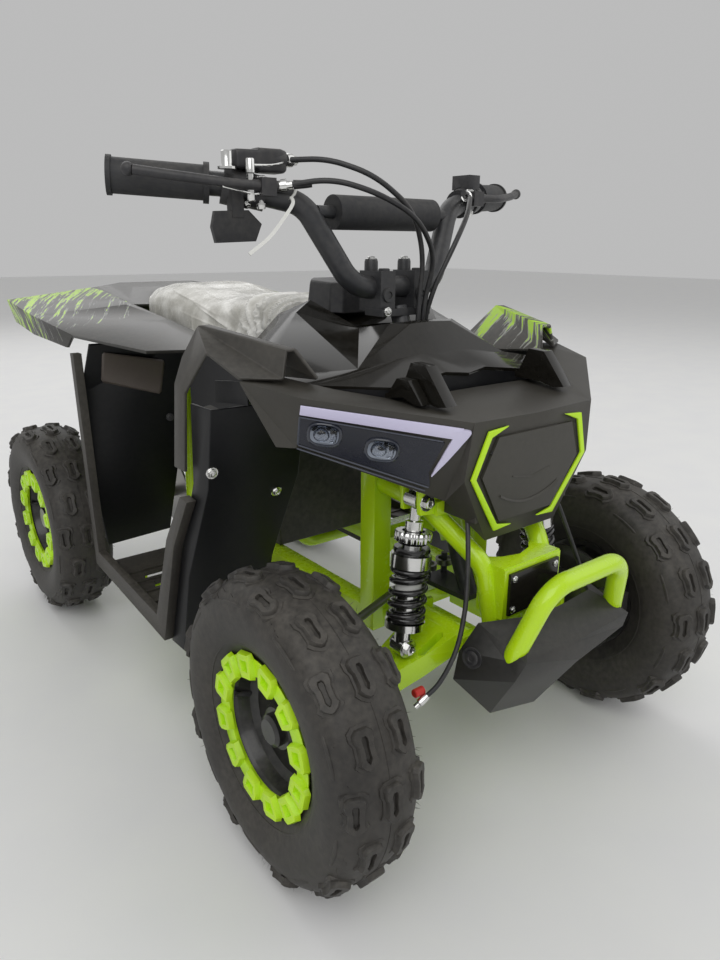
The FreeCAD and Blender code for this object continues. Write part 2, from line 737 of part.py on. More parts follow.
# Front bodywork
F = {"n0": (0, fy(-76), hz(301)), "n1": (92, fy(-76), hz(303)), "b1": (bx(-48), fy(26), hz(326)), "c1": (bx(-21), fy(93), hz(335)),
     "q0": (0, fy(12), hz(314)), "q1": (106, fy(21), hz(311)), "q2": (164, fy(52), hz(324)), "q3": (bx(-58), fy(108), hz(338)),
     "m": (98, fy(-72), hz(244)), "k": (94, fy(-42.5), hz(215)), "l1": (bx(-52), fy(41), hz(273)), "d": (bx(-37), fy(54), hz(274)),
     "t": (56, fy(-66), hz(170)), "t0": (0, fy(-66), hz(170))}
fascia = folded(F, [("n0", "n1", "q1", "q0"), ("n1", "b1", "q2", "q1"), ("b1", "c1", "q3", "q2"),
                    ("n1", "k", "l1", "b1"), ("n1", "m", "k"), ("b1", "l1", "d", "c1"),
                    ("n1", "n0", "t0", "t", "m"), ("m", "t", "k")], skin, mirror=True)
keep("fascia", fuse(fascia, *[stud(fascia, "y", 68 * s, hz(199), fy(-22.3)) for s in (-1, 1)]))


def lamp_slab(outline, thick, lift):
    """Flat slabs on both lamp faces; outline is (along, down) from the
    face's rear top corner."""
    made = []
    for s in (-1, 1):
        n1, b1, l1 = [V(num(F[k][0]) * s, num(F[k][1]), num(F[k][2])) for k in ("n1", "b1", "l1")]
        u = (n1 - b1).normalize()
        n = u.cross(l1 - b1).normalize()
        if n.y > 0:
            n = -n
        w = n.cross(u)
        if w.z > 0:
            w = -w
        corners = [b1 + u * a + w * b + n * lift for a, b in outline]
        f = doc.addObject("Part::Feature", "Slab")
        f.Shape = Part.Face(Part.makePolygon(corners + corners[:1])).extrude(n * thick)
        made.append(f)
    return group(*made)


keep("led_strips", lamp_slab([(1, 7), (158, 7), (138, 58), (150, 20), (1, 17)], 2, 0.3))
keep("headlamps", lamp_slab([(1, 20), (143, 25), (134, 60), (138, 76), (3, 48)], 2, 0.3))

grille_lean = 4.3
trim = []
for s in (-1, 1):
    outline = [(44 * s, -8), (73 * s, -10), (91 * s, -58), (48 * s, -122), (20 * s, -120), (44 * s, -115), (84 * s, -58), (68 * s, -17)]
    trim.append(plate("XZ", [outline], 3, 2.2, at=(0, fy(-76), hz(302)), axis=(1, 0, 0), angle=grille_lean))
keep("grille_trim", group(*trim))
keep("grille_insert", plate("XZ", [[(-58, -18), (58, -18), (76, -58), (42, -112), (-42, -112), (-76, -58)]], 3, 2.2,
                            at=(0, fy(-76), hz(302)), axis=(1, 0, 0), angle=grille_lean))

H = {"a": (0, fy(318), hz(388)), "b": (58, fy(316), hz(371)), "c": (92, fy(266), hz(375)), "d": (92, fy(196), hz(397)),
     "s": (102, fy(208), hz(383)), "e": (46, fy(174), hz(365)), "e0": (0, fy(176), hz(366)), "f": (62, fy(141), hz(367)),
     "g2": (48, fy(102), hz(375)), "g20": (0, fy(102), hz(376)), "g": (31, fy(88), hz(375)), "g0": (0, fy(87), hz(376)),
     "h": (31, fy(70), hz(344)), "h0": (0, fy(67), hz(343)), "i": (31, fy(28), hz(328)), "i0": (0, fy(22), hz(325)),
     "j": (150, fy(318), hz(290)), "k": (158, fy(198), hz(312)), "l": (114, fy(76), hz(333)), "m": (103, fy(26), hz(319)),
     "o": (172, fy(70), hz(322))}
hood = folded(H, [("a", "b", "e", "e0"), ("b", "c", "d", "e"), ("b", "j", "k", "c"), ("c", "k", "s"), ("c", "s", "d"),
                  ("d", "s", "f"), ("d", "f", "e"), ("s", "k", "l"), ("s", "l", "f"), ("f", "l", "g2"), ("g2", "l", "g"),
                  ("g20", "g2", "g", "g0"), ("g0", "g", "h", "h0"), ("g", "l", "h"), ("h", "l", "m"), ("h", "m", "i"),
                  ("h0", "h", "i", "i0"), ("l", "k", "o"), ("l", "o", "m")], skin, mirror=True)
fin_shapes = [(84, 99, [(78, 329), (33, 322), (22, 322), (9, 350), (-13, 349), (-44, 313), (-30, 310.5), (-10, 315), (33, 315), (78, 321)]),
              (101, 113, [(78, 325), (38, 317), (28, 317), (14, 335), (-3, 335), (-24, 313), (-12, 312), (4, 317), (38, 311), (78, 319)])]
fins = []
for s in (-1, 1):
    for x0, x1, outline in fin_shapes:
        fins.append(plate("YZ", [[(fy(y), hz(z)) for y, z in outline]], x1 - x0, (x0 + x1) / 2 * s))
keep("hood", fuse(hood, *fins, *[stud(hood, "z", 40 * s, fy(272), hz(275.3)) for s in (-1, 1)]))


def fender(s):
    """Front fender: raised fin, its inner slope and the leg behind the wheel."""
    P = {"a": (bx(-29), fy(190), hz(377)), "b": (bx(-66), fy(75), hz(361)), "b2": (bx(-60), fy(72), hz(334)),
         "e": (bx(-21), fy(93), hz(335.6)), "f": (bx(-12), fy(140), hz(355)), "g": (bx(-8), fy(184), hz(310)), "h": (bx(-8), fy(197), hz(219)),
         "i": (bx(-8), fy(224), hz(219)), "j": (bx(-8), fy(208), hz(317)), "k": (bx(-18), fy(206), hz(345)),
         "a2": (bx(-40), fy(192), hz(377)), "b3": (bx(-76), fy(77), hz(361)), "a3": (168, fy(214), hz(318)), "b4": (bx(-92), fy(62), hz(333))}
    P = {k: (v[0] * s, v[1], v[2]) for k, v in P.items()}
    return folded(P, [("a", "b", "b2", "e", "f"), ("a", "f", "g", "j", "k"), ("g", "h", "i", "j"), ("a", "a2", "b3", "b"),
                      ("a2", "a3", "b4", "b3")], skin, flip=s > 0)


keep("front_fenders", sided(fender))


def liner(s):
    """Wall behind the front wheel with its edge turned back."""
    rows = [(hz(298), fy(142), fy(188)), (hz(205), fy(160), fy(194)), (hz(76), fy(226), fy(254)), (hz(-40), fy(256), fy(292))]
    P = {}
    for i, (z, y, back) in enumerate(rows):
        P["r%d" % i] = (bx(-12.3) * s, back, z)
        P["o%d" % i] = (bx(-13.2) * s, y, z)
        P["i%d" % i] = (140 * s, y - 4, z)
    sheets = [("o%d" % i, "i%d" % i, "i%d" % (i + 1), "o%d" % (i + 1)) for i in range(3)]
    sheets += [("r%d" % i, "o%d" % i, "o%d" % (i + 1), "r%d" % (i + 1)) for i in range(3)]
    return folded(P, sheets, skin, flip=s < 0)


keep("arch_liners", sided(liner))


def tray(s):
    """Foot tray: outer band with its risers, slotted floor with ribs."""
    band = [(fy(188), hz(186)), (fy(234), hz(116)), (fy(286), hz(-34)), (ry(-222), hz(-12)), (ry(-208), hz(312)),
            (ry(-222), hz(312)), (ry(-238), hz(12)), (fy(306), hz(-4)), (fy(254), hz(120)), (fy(206), hz(188))]
    rim_band = plate("YZ", [band], 12, (body_half - 6) * s)
    front, rear = fy(300), ry(-236)
    outline = [(118 * s, front), (bx(-10) * s, front), (bx(-10) * s, rear), (118 * s, rear)]
    slots, ribs = [], []
    for k in range(4):
        y = fy(322) + 36 * k
        for near, far in ((132, 176), (190, 234)):
            slots.append([(near * s, y), (far * s, y), ((far - 6) * s, y + 18), ((near + 6) * s, y + 18)])
        ribs.append(sided_box(s, 126, bx(-12), y + 23, y + 27, hz(-8), hz(-5)))
    floor = plate("XY", [outline] + slots, 6, hz(-11))
    inner = sided_box(s, 114, 118, front, rear, hz(-14), hz(10))
    return fuse(rim_band, floor, inner, *ribs)


keep("foot_trays", sided(tray))
keep("footrest_loops", cut(fuse(*loop_parts), main_frame))


def footwell(s):
    """Wall behind the foot space and the cover above it, in one panel."""
    P = {"a": (bx(-30), ry(-196), hz(2)), "b": (130, ry(-186), hz(2)), "c": (118, ry(-248), hz(212)), "d": (bx(-11.6), ry(-200), hz(250)),
         "c2": (112, ry(-258), hz(326)), "d2": (bx(-16), ry(-246), hz(326)), "e": (bx(-11.6), ry(-206), hz(150))}
    P = {k: (v[0] * s, v[1], v[2]) for k, v in P.items()}
    return folded(P, [("a", "e", "b"), ("e", "d", "c", "b"), ("d", "d2", "c2", "c")], skin, flip=s < 0)


keep("footwell_walls", sided(footwell))

# Rear fenders with their flaps, the deck behind the seat and the inner walls
R = {"a": (bx(-4), ry(-218), hz(338)), "b": (bx(0), ry(-40), hz(352)), "c": (bx(-2), ry(118), hz(367)), "a2": (bx(-2), ry(-190), hz(318)),
     "b2": (bx(0), ry(-36), hz(322)), "c2": (bx(-8), ry(100), hz(330)), "d": (120, ry(-420), hz(330)), "e": (126, ry(-250), hz(352)),
     "f": (140, ry(-60), hz(376)), "g": (120, ry(90), hz(386)), "d1": (bx(-36), ry(-400), hz(334)),
     "e3": (110, ry(-250), hz(340)), "f3": (106, ry(-60), hz(360)), "m3": (100, ry(-32), hz(362)), "m0": (0, ry(-28), hz(358)),
     "g3": (72, ry(98), hz(392)), "g0": (0, ry(104), hz(392)), "t3": (72, ry(92), hz(336)), "t0": (0, ry(98), hz(334)),
     "t": (118, ry(84), hz(334))}
rear_shell = folded(R, [("a", "b", "f", "e"), ("b", "c", "g", "f"), ("a2", "b2", "b", "a"), ("b2", "c2", "c", "b"), ("d", "d1", "a", "e"),
                        ("e", "f", "f3", "e3"), ("f", "m3", "f3"), ("f", "g", "g3", "m3"), ("m3", "g3", "g0", "m0"),
                        ("g0", "g3", "t3", "t0"), ("g3", "g", "t", "t3"), ("g", "c", "c2", "t")], skin, mirror=True)


def arch_wall(s):
    """Upright wall between the rear wheel and the frame, under the ridge."""
    P = {"p": (124, ry(-236), hz(350)), "q": (136, ry(-60), hz(373)), "r": (118, ry(84), hz(382)), "u": (116, ry(80), hz(300)),
         "v": (118, ry(-60), hz(276)), "w": (118, ry(-190), hz(276))}
    P = {k: (v[0] * s, v[1], v[2]) for k, v in P.items()}
    return folded(P, [("p", "w", "v", "q"), ("q", "v", "u", "r")], skin, flip=s < 0)


keep("rear_body", fuse(rear_shell, arch_wall(-1), arch_wall(1),
                       *[stud(rear_shell, "z", 138 * s, ry(-104), hz(268.3)) for s in (-1, 1)]))


def lofted(rings):
    """A closed solid through outlines with as many corners each."""
    f = doc.addObject("Part::Feature", "Lofted")
    wires = []
    for ring in rings:
        corners = [V(*[num(c) for c in p]) for p in ring]
        wires.append(Part.makePolygon(corners + corners[:1]))
    f.Shape = Part.makeLoft(wires, True, True)
    return f


def seat_ring(y, wide, low, top):
    """The seat's cross-section: crowned top, full sides, flat underside."""
    crown = [(1.0, 0.42), (0.97, 0.72), (0.84, 0.9), (0.45, 1.0)]
    right = [(0.90 * wide, y, low)] + [(k * wide, y, low + (top - low) * h) for k, h in crown]
    return right + [(-x, y, z) for x, y, z in reversed(right)]


seat_low = seat_height - 92
for y0 in (fy(440), ry(-206)):
    seat_parts.append(box(-60, 60, y0, y0 + 16, hz(254), seat_low - 0.4))
keep("seat", lofted([seat_ring(fy(322), 50, seat_low + 44, seat_height - 8), seat_ring(fy(344), 64, seat_low + 22, seat_height - 5),
                     seat_ring(fy(400), 78, seat_low, seat_height - 6), seat_ring(fy(490), 92, seat_low, seat_height - 6),
                     seat_ring(ry(-170), 99, seat_low, seat_height + 4), seat_ring(ry(-108), 97, seat_low + 10, seat_height + 5),
                     seat_ring(ry(-66), 84, seat_low + 26, seat_height - 2), seat_ring(ry(-50), 64, seat_low + 44, seat_height - 20)]))
keep("seat_rails", cut(welded(seat_sides[-1] + seat_parts + seat_sides[1]), fuse(*bars)))

# Drive unit, rear axle carrier and its damper
keep("engine_block", box(-80, 80, fy(300), ry(-210), hz(34) + rail_size / 2 + 0.3, hz(226)))
carrier = cut(rod((-27, rear_axle, hub), (27, rear_axle, hub), 26), rod((-40, rear_axle, hub), (40, rear_axle, hub), axle_radius + 0.3))
beam = square_bar((0, ry(-190), hz(8)), (0, ry(-24), hz(0)), 40, 30)
pivot = box(-72, 72, ry(-202), ry(-180), hz(-2), hz(20))
keep("swingarm", fuse(carrier, beam, pivot))
rs_top, rs_low = V(0, num(ry(-116)), num(hz(250))), V(0, num(ry(-90)), num(hz(24)))
rear_damper = turned([(0, 0), (228, 0), (228, 9), (200, 9), (200, 22), (186, 22), (178, 17), (164, 22), (150, 17), (136, 22), (122, 17), (108, 22),
                      (94, 17), (80, 22), (66, 17), (52, 22), (40, 22), (40, 12), (0, 12)])
rear_damper.Placement = FreeCAD.Placement(rs_low, FreeCAD.Rotation(V(1, 0, 0), rs_top - rs_low))
keep("rear_shock", rear_damper)
# Steering: stem with its arm, handlebar, grips and controls
bar_y, bar_z = fy(152), hz(415)
stem = rod(on_axis(-0.02), on_axis(0.93), 11)
pin_x, pin_back = pitman_gap, fy(pitman_reach)
pitman = plate("XY", [[(-pin_x - 2, fy(-8)), (pin_x + 2, fy(-8)), (pin_x + 6, pin_back), (pin_x + 3, pin_back + 7),
                       (-pin_x - 3, pin_back + 7), (-pin_x - 6, pin_back)]], 6, hz(66))
pins = [rod((pin_x * s, pin_back, hz(65)), (pin_x * s, pin_back, hz(95)), 4) for s in (-1, 1)]
plate_low = box(-38, 38, fy(128), fy(160), hz(383), hz(391))
posts = [box(s * 26 - 11, s * 26 + 11, fy(132), fy(172), hz(388), hz(434)) for s in (-1, 1)]
clamp_bore = rod((-60, bar_y, bar_z), (60, bar_y, bar_z), bar_radius + 0.2)
keep("steering_column", cut(fuse(stem, pitman, plate_low, *posts, *pins), clamp_bore))


def gx(d):
    """Width position given from the handlebar's ends."""
    return bar_half + d


def gz(d):
    """Height given from the handlebar's ends."""
    return bar_height + d


def mirrored(v, s):
    return V(v.x * s, v.y, v.z)


grip_in, grip_out = V(num(gx(-94)), num(fy(223)), num(gz(-5))), V(num(gx(0)), num(fy(268)), num(gz(1)))
along = (grip_out - grip_in).normalize()
tip, turn = grip_out - along * 3.3, grip_in - along * 14
elbow = V(112, num(fy(179)), num(gz(-24)))
clamp = V(62, num(bar_y), num(bar_z))
right_side = [mirrored(v, -1) for v in (tip, turn, elbow, clamp)]
path = right_side + [clamp, elbow, turn, tip]
cross_y, cross_z = fy(173), gz(-32)
keep("handlebar", fuse(bent(path, bar_radius, 40), rod((-98, cross_y, cross_z), (98, cross_y, cross_z), 7)))
pad = rod((-76, cross_y, cross_z), (76, cross_y, cross_z), 19)
keep("crossbar_pad", cut(pad, rod((-90, cross_y, cross_z), (90, cross_y, cross_z), 7.2)))


def grip(s):
    """Rubber grip with a flange at its inner end and a closed outer end."""
    a, b = mirrored(grip_in, s), mirrored(grip_out, s)
    length, r, bore = (b - a).Length, num(grip_radius), num(bar_radius) + 0.2
    g = turned([(0, bore), (length - 3, bore), (length - 3, 0), (length, 0), (length, r + 2), (length - 5, r + 2),
                (length - 5, r), (6, r), (6, r + 3), (0, r + 3)])
    g.Placement = FreeCAD.Placement(a, FreeCAD.Rotation(V(1, 0, 0), b - a))
    return g


def on_bar(share, s):
    """A point of the handlebar between its elbow and its turn to the grip."""
    return mirrored(elbow + (turn - elbow) * share, s)


def lever(s):
    """Clamp ring on the bar with its perch, bent blade and ball end."""
    ring = rod(on_bar(0.48, s), on_bar(0.66, s), 18)
    perch = sided_box(s, gx(-146), gx(-128), fy(170), fy(204), gz(-18), gz(0))
    barrel = rod((gx(-150) * s, fy(177), gz(-8)), (gx(-120) * s, fy(177), gz(-8)), 6)
    blade = bent([(gx(-137) * s, fy(178), gz(-8)), (gx(-97) * s, fy(172), gz(-8)), (gx(-47) * s, fy(196), gz(-2)),
                  (gx(-5) * s, fy(222), gz(4))], 5, 40)
    ball = doc.addObject("Part::Sphere", "Ball")
    ball.Radius = 7
    place(ball, (gx(-5) * s, fy(222), gz(4)))
    return fuse(ring, perch, barrel, blade, ball)


keep("grips", sided(grip))
bar_hole = bent(path, bar_radius + 0.2, 40)
keep("brake_levers", cut(sided(lever), bar_hole))
paddle = plate("XZ", [[(-gx(-84), gz(-34)), (-gx(-124), gz(-32)), (-gx(-140), gz(-46)), (-gx(-132), gz(-64)), (-gx(-84), gz(-66)),
                       (-gx(-80), gz(-50))]], 6, -fy(196))
stalk = box(-gx(-104), -gx(-118), fy(192), fy(204), gz(-40), gz(-8))
throttle_tube = rod((-gx(-116), fy(200), gz(19)), (-gx(-172), fy(196), gz(21)), 9.5)
keep("throttle_housing", cut(fuse(rod(on_bar(0.74, -1), on_bar(1.0, -1), 20), throttle_tube, stalk, paddle), bar_hole))
buttons = box(gx(-132), gx(-112), fy(194), fy(226), gz(4), gz(22))
keep("switch_box", cut(fuse(rod(on_bar(0.74, 1), on_bar(1.0, 1), 20), buttons), bar_hole))

# Control cables: throttle, right brake and left brake, down into the hood
cable_radius = 3
cable_ends = [(10, fy(119), hz(360)), (17, fy(120), hz(360)), (24, fy(122), hz(360))]
cable_routes = [
    [(-gx(-174), fy(195), gz(21)), (-92, fy(160), gz(22)), (-52, fy(128), gz(6)), (-8, fy(110), gz(-30)), (14, fy(116), gz(-80)),
     (12, fy(120), gz(-132))],
    [(-gx(-153), fy(177), gz(-8)), (-104, fy(136), gz(0)), (-62, fy(108), gz(-14)), (-14, fy(96), gz(-38)), (22, fy(104), gz(-80)),
     (20, fy(119), gz(-130))],
    [(gx(-153), fy(177), gz(-8)), (112, fy(140), gz(-10)), (82, fy(114), gz(-32)), (52, fy(104), gz(-66)), (30, fy(112), gz(-112)),
     (26, fy(122), gz(-146))]]
cables = []
print("cable arc radii")
for route_points, last in zip(cable_routes, cable_ends):
    points = route_points + [last]
    cables.append(bent(points, cable_radius))
    corners = [V(*[num(c) for c in p]) for p in points]
    radii = []
    for a, b, c in zip(corners, corners[1:], corners[2:]):
        half_turn = (math.pi - (a - b).getAngle(c - b)) / 2
        radii.append(round(0.45 * min((a - b).Length, (c - b).Length) / math.tan(half_turn)))
    print(radii)
keep("cables", group(*cables))


def tie_rod(s):
    """Rod with an eye over the knuckle's pin and one over the pitman's."""
    outer = (wall * s, pin_y + steer_arm, hub + 46.8)
    inner = (pin_x * s, pin_back, hz(84))
    eyes = [rod((outer[0], outer[1], hub + 42.3), (outer[0], outer[1], hub + 51.3), 10),
            rod((inner[0], inner[1], hz(80.5)), (inner[0], inner[1], hz(87.5)), rod_clearance + 7)]
    holes = fuse(rod((outer[0], outer[1], hub + 30), (outer[0], outer[1], hub + 70), 5.3),
                 rod((inner[0], inner[1], hz(60)), (inner[0], inner[1], hz(100)), rod_clearance + 4))
    return cut(fuse(rod(outer, inner, 5), *eyes), holes)


for s, name in ((-1, "r"), (1, "l")):
    keep("tie_rod_" + name, tie_rod(s))

doc.recompute()
bad = []
for obj in doc.Objects:
    if "Invalid" in obj.State or "Error" in obj.State:
        bad.append((obj.Name, obj.Label, obj.State))
for label, obj in nodes.items():
    if obj.Shape.isNull() or not obj.Shape.isValid():
        bad.append((label, "shape"))
if bad:
    raise RuntimeError("not valid: %s" % bad)
for label, obj in nodes.items():
    obj.Shape.exportStep("parts/%s.step" % label)
print("nodes", len(nodes))
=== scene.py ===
import json
import math

import bmesh
import bpy
import numpy as np
from mathutils import Matrix, Vector
from mathutils.bvhtree import BVHTree


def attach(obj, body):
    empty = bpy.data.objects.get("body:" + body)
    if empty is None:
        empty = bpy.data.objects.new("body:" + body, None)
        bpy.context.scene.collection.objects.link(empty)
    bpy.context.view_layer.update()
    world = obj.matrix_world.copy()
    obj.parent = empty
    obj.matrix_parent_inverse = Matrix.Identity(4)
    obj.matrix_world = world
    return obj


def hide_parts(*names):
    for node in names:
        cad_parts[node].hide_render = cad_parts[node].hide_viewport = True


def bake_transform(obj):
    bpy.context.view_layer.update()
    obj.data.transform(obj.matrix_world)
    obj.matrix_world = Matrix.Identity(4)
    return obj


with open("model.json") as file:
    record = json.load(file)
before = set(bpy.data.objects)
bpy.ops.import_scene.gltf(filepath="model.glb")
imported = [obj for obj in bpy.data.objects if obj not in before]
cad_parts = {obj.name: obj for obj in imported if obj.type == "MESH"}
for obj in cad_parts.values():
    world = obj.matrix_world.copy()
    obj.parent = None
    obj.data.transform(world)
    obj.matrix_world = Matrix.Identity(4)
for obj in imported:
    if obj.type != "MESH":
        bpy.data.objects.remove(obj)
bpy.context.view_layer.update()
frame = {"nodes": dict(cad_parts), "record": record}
nodes = frame["nodes"]

# Half the wheelbase, half the track and the height of the wheels' centres, in metres
HALF_BASE, HALF_TRACK, HUB = 0.378, 0.2585, 0.165

# Each turning body with its tyre node, its rim node and its wheels' places:
# -1 or 1 across, and -1 in front or 1 behind
WHEELS = (("wheel_fr", "tyre_fr", "rim_fr", [(-1, -1)]), ("wheel_fl", "tyre_fl", "rim_fl", [(1, -1)]),
          ("rear_wheels", "rear_tyres", "rear_rims", [(-1, 1), (1, 1)]))

# The photograph's size and focal length in pixels; the camera's place in
# metres and its yaw, pitch and roll in degrees
PHOTO_WIDE, PHOTO_HIGH, FOCAL = 720, 960, 735.76
CAMERA_SPOT = (-0.59969, -0.92125, 0.62987)
CAMERA_TURN = (38.31, 17.85, 0.35)


def placed(name, data):
    """A new object that holds the data, linked into the scene."""
    piece = bpy.data.objects.new(name, data)
    bpy.context.scene.collection.objects.link(piece)
    return piece


def camera_frame():
    """Where the photograph was taken from: turned from +Y towards +X by its
    yaw, tipped down by its pitch and leaning by its roll. Gives the place
    and the picture's right, up and ahead."""
    yaw, pitch, roll = (math.radians(a) for a in CAMERA_TURN)
    ahead = np.array((math.sin(yaw) * math.cos(pitch), math.cos(yaw) * math.cos(pitch), -math.sin(pitch)))
    level = np.array((math.cos(yaw), -math.sin(yaw), 0.0))
    upright = np.cross(level, ahead)
    right = level * math.cos(roll) + upright * math.sin(roll)
    up = upright * math.cos(roll) - level * math.sin(roll)
    return np.array(CAMERA_SPOT), right, up, ahead


def aim_camera():
    """The scene's camera at the photograph's place: its lens is the focal
    length as a share of the photograph's longer side."""
    spot, right, up, ahead = camera_frame()
    data = bpy.data.cameras.new("photo_camera")
    data.lens = FOCAL / PHOTO_HIGH * data.sensor_width
    data.clip_end = 60.0
    camera = placed("photo_camera", data)
    turn = Matrix((right, up, -ahead)).transposed()
    camera.matrix_world = Matrix.Translation(spot) @ turn.to_4x4()
    bpy.context.scene.camera = camera


aim_camera()


# Shapes

def show_mesh(name, points, faces, finish, body):
    """A smooth mesh object from an array of points and a list of faces,
    riding on a body where one is named."""
    mesh = bpy.data.meshes.new(name)
    mesh.from_pydata(np.asarray(points, float).tolist(), [], [list(map(int, f)) for f in faces])
    mesh.update()
    mesh.shade_smooth()
    piece = placed(name, mesh)
    mesh.materials.append(finish.material)
    if body:
        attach(piece, body)
    return piece


def grid_faces(rows, columns, around=False, along=False):
    """Four-cornered faces of a grid of rows by columns, which may close on
    itself around its columns and along its rows."""
    i = np.arange(rows if along else rows - 1)[:, None]
    j = np.arange(columns if around else columns - 1)[None, :]
    right, below = (j + 1) % columns, (i + 1) % rows
    corners = (i * columns + j, i * columns + right, below * columns + right, below * columns + j)
    return np.stack([c * np.ones_like(i + j) for c in corners], -1).reshape(-1, 4).tolist()


def joined(parts):
    """Several (points, faces) as one, each part's faces moved past the
    points before it."""
    start, points, faces = 0, [], []
    for p, f in parts:
        p = np.asarray(p, float).reshape(-1, 3)
        points.append(p)
        faces.extend([[int(i) + start for i in face] for face in f])
        start += len(p)
    return np.vstack(points), faces


def outward(piece, open_sheet=False):
    """Turn the piece's faces to point out of it, or upwards for a sheet."""
    work = bmesh.new()
    work.from_mesh(piece.data)
    bmesh.ops.recalc_face_normals(work, faces=work.faces)
    if open_sheet and sum(f.normal.z * f.calc_area() for f in work.faces) < 0:
        bmesh.ops.reverse_faces(work, faces=work.faces)
    work.to_mesh(piece.data)
    work.free()


def soften(piece, degrees):
    """Smooth shading with edges sharper than an angle kept crisp."""
    piece.data.set_sharp_from_angle(angle=math.radians(degrees))


def show_parts(name, parts, finish, body, crisp=40):
    """Several parts in millimetres as one piece on a body, its faces turned
    outwards and its edges crisp beyond an angle in degrees."""
    if not parts:
        return None
    points, faces = joined(parts)
    piece = show_mesh(name, points / 1000, faces, finish, body)
    outward(piece)
    soften(piece, crisp)
    return piece


def keep_modifiers(piece):
    """The piece's evaluated mesh takes the place of its mesh and modifiers."""
    seen = piece.evaluated_get(bpy.context.evaluated_depsgraph_get())
    mesh = bpy.data.meshes.new_from_object(seen)
    old = piece.data
    piece.modifiers.clear()
    piece.data = mesh
    mesh.name = piece.name
    if old.users == 0:
        bpy.data.meshes.remove(old)


def circle(count):
    """Equal steps of angle once round: 2 pi k / count."""
    return np.linspace(0, 2 * math.pi, count, endpoint=False)


def softened(value, power):
    """A sine or cosine with its size raised to a power and its sign kept;
    below one the power squares an oval's corners."""
    return np.sign(value) * np.abs(value) ** power


def smooth_line(points, each):
    """A line through points: on each span the cubic whose ends' slopes are
    half the step between the neighbours, each times per span."""
    p = np.asarray(points, float)
    before, after = np.vstack([2 * p[0] - p[1], p[:-1]]), np.vstack([p[1:], 2 * p[-1] - p[-2]])
    slope = (after - before) / 2
    t = np.linspace(0, 1, each, endpoint=False)[None, :, None]
    a, b, u, v = p[:-1, None], p[1:, None], slope[:-1, None], slope[1:, None]
    straight = a * (2 * t**3 - 3 * t**2 + 1) + b * (3 * t**2 - 2 * t**3)
    line = straight + u * (t**3 - 2 * t**2 + t) + v * (t**3 - t**2)
    return np.vstack([line.reshape(-1, p.shape[1]), p[-1:]])


def flipped(line, s):
    """A line of points given for the side of +X, put on the side s."""
    return [(x * s, y, z) for x, y, z in line]


def axis_of(low, top):
    """An axis's lower end and its unit direction, from its two ends."""
    low, top = np.asarray(low, float), np.asarray(top, float)
    return low, (top - low) / np.linalg.norm(top - low)


def across_axis(ahead, aside=(0.0, 1.0, 0.0)):
    """Two unit directions square to an axis and to each other: the axis
    crossed with aside, and the axis crossed with that."""
    first = np.cross(ahead, aside)
    first /= np.linalg.norm(first)
    return first, np.cross(ahead, first)


def spokes(angle, first, second):
    """Unit directions at the angles: cos angle first + sin angle second."""
    return np.cos(angle)[:, None] * first + np.sin(angle)[:, None] * second


def closed_form(rings):
    """Rings of points as a closed form, each end gathered to its middle."""
    rows, count = rings.shape[:2]
    points = np.vstack([rings.reshape(-1, 3), rings[0].mean(0), rings[-1].mean(0)])
    faces = grid_faces(rows, count, around=True)
    first, last = len(points) - 2, len(points) - 1
    faces += [(first, (k + 1) % count, k) for k in range(count)]
    faces += [((rows - 1) * count + k, (rows - 1) * count + (k + 1) % count, last) for k in range(count)]
    return points, faces


def carried(path, section):
    """A closed section of (across, up) carried along a path of points, with
    a face at each end: at each point the section lies in the plane across
    the path's direction, its up turned as little as can be from the point
    before."""
    path = np.asarray(path, float)
    ahead = np.gradient(path, axis=0)
    ahead /= np.linalg.norm(ahead, axis=1, keepdims=True)
    up = np.array([0.0, 0.0, 1.0]) if abs(ahead[0, 2]) < 0.9 else np.array([0.0, 1.0, 0.0])
    ups = np.empty_like(path)
    for k, t in enumerate(ahead):
        up = up - t * (up @ t)
        up /= np.linalg.norm(up)
        ups[k] = up
    across = np.cross(ahead, ups)
    section = np.asarray(section, float)
    points = path[:, None] + section[:, :1] * across[:, None] + section[:, 1:] * ups[:, None]
    count = len(section)
    last = (len(path) - 1) * count
    faces = grid_faces(len(path), count, around=True)
    faces += [list(range(count - 1, -1, -1)), list(range(last, last + count))]
    return points, [f[::-1] for f in faces]


def round_section(radius, count=12):
    """A round section: radius times cosine and sine."""
    a = circle(count)
    return np.stack([radius * np.cos(a), radius * np.sin(a)], -1)


def wire(points, radius, each=8, count=10):
    """A round wire along a smooth line through the points."""
    return carried(smooth_line(points, each), round_section(radius, count))


def lathe(low, top, profile, count=40):
    """A profile of (distance along, radius) turned about the axis from low
    to top."""
    low, ahead = axis_of(low, top)
    first, second = across_axis(ahead, (0.0, 0.0, 1.0) if abs(ahead[2]) < 0.9 else (1.0, 0.0, 0.0))
    ring = spokes(np.arange(count) * 2 * math.pi / count, first, second)
    profile = np.asarray(profile, float)
    points = low + profile[None, :, :1] * ahead + profile[None, :, 1:] * ring[:, None]
    return points, grid_faces(count, len(profile), along=True)


def pin(low, top, profile, count=24):
    """A lathed part closed at both ends: the profile starts at a radius near
    nothing, and ends there too where it doesn't already."""
    near = 0.1
    last = [] if profile[-1][1] <= near else [(profile[-1][0], near)]
    return lathe(low, top, [(profile[0][0], near), *profile, *last], count)


# Finishes

COLOUR, NUMBER, VECTOR = "NodeSocketColor", "NodeSocketFloat", "NodeSocketVector"
TINT_SCALE = 8.0


def give(tree, socket, value):
    """Link an output to a socket, or set the socket's own value. A colour
    of three numbers gets an alpha of one."""
    if isinstance(value, bpy.types.NodeSocket):
        tree.links.new(value, socket)
    elif socket.type == "RGBA" and len(value) == 3:
        socket.default_value = (*value, 1.0)
    else:
        socket.default_value = value


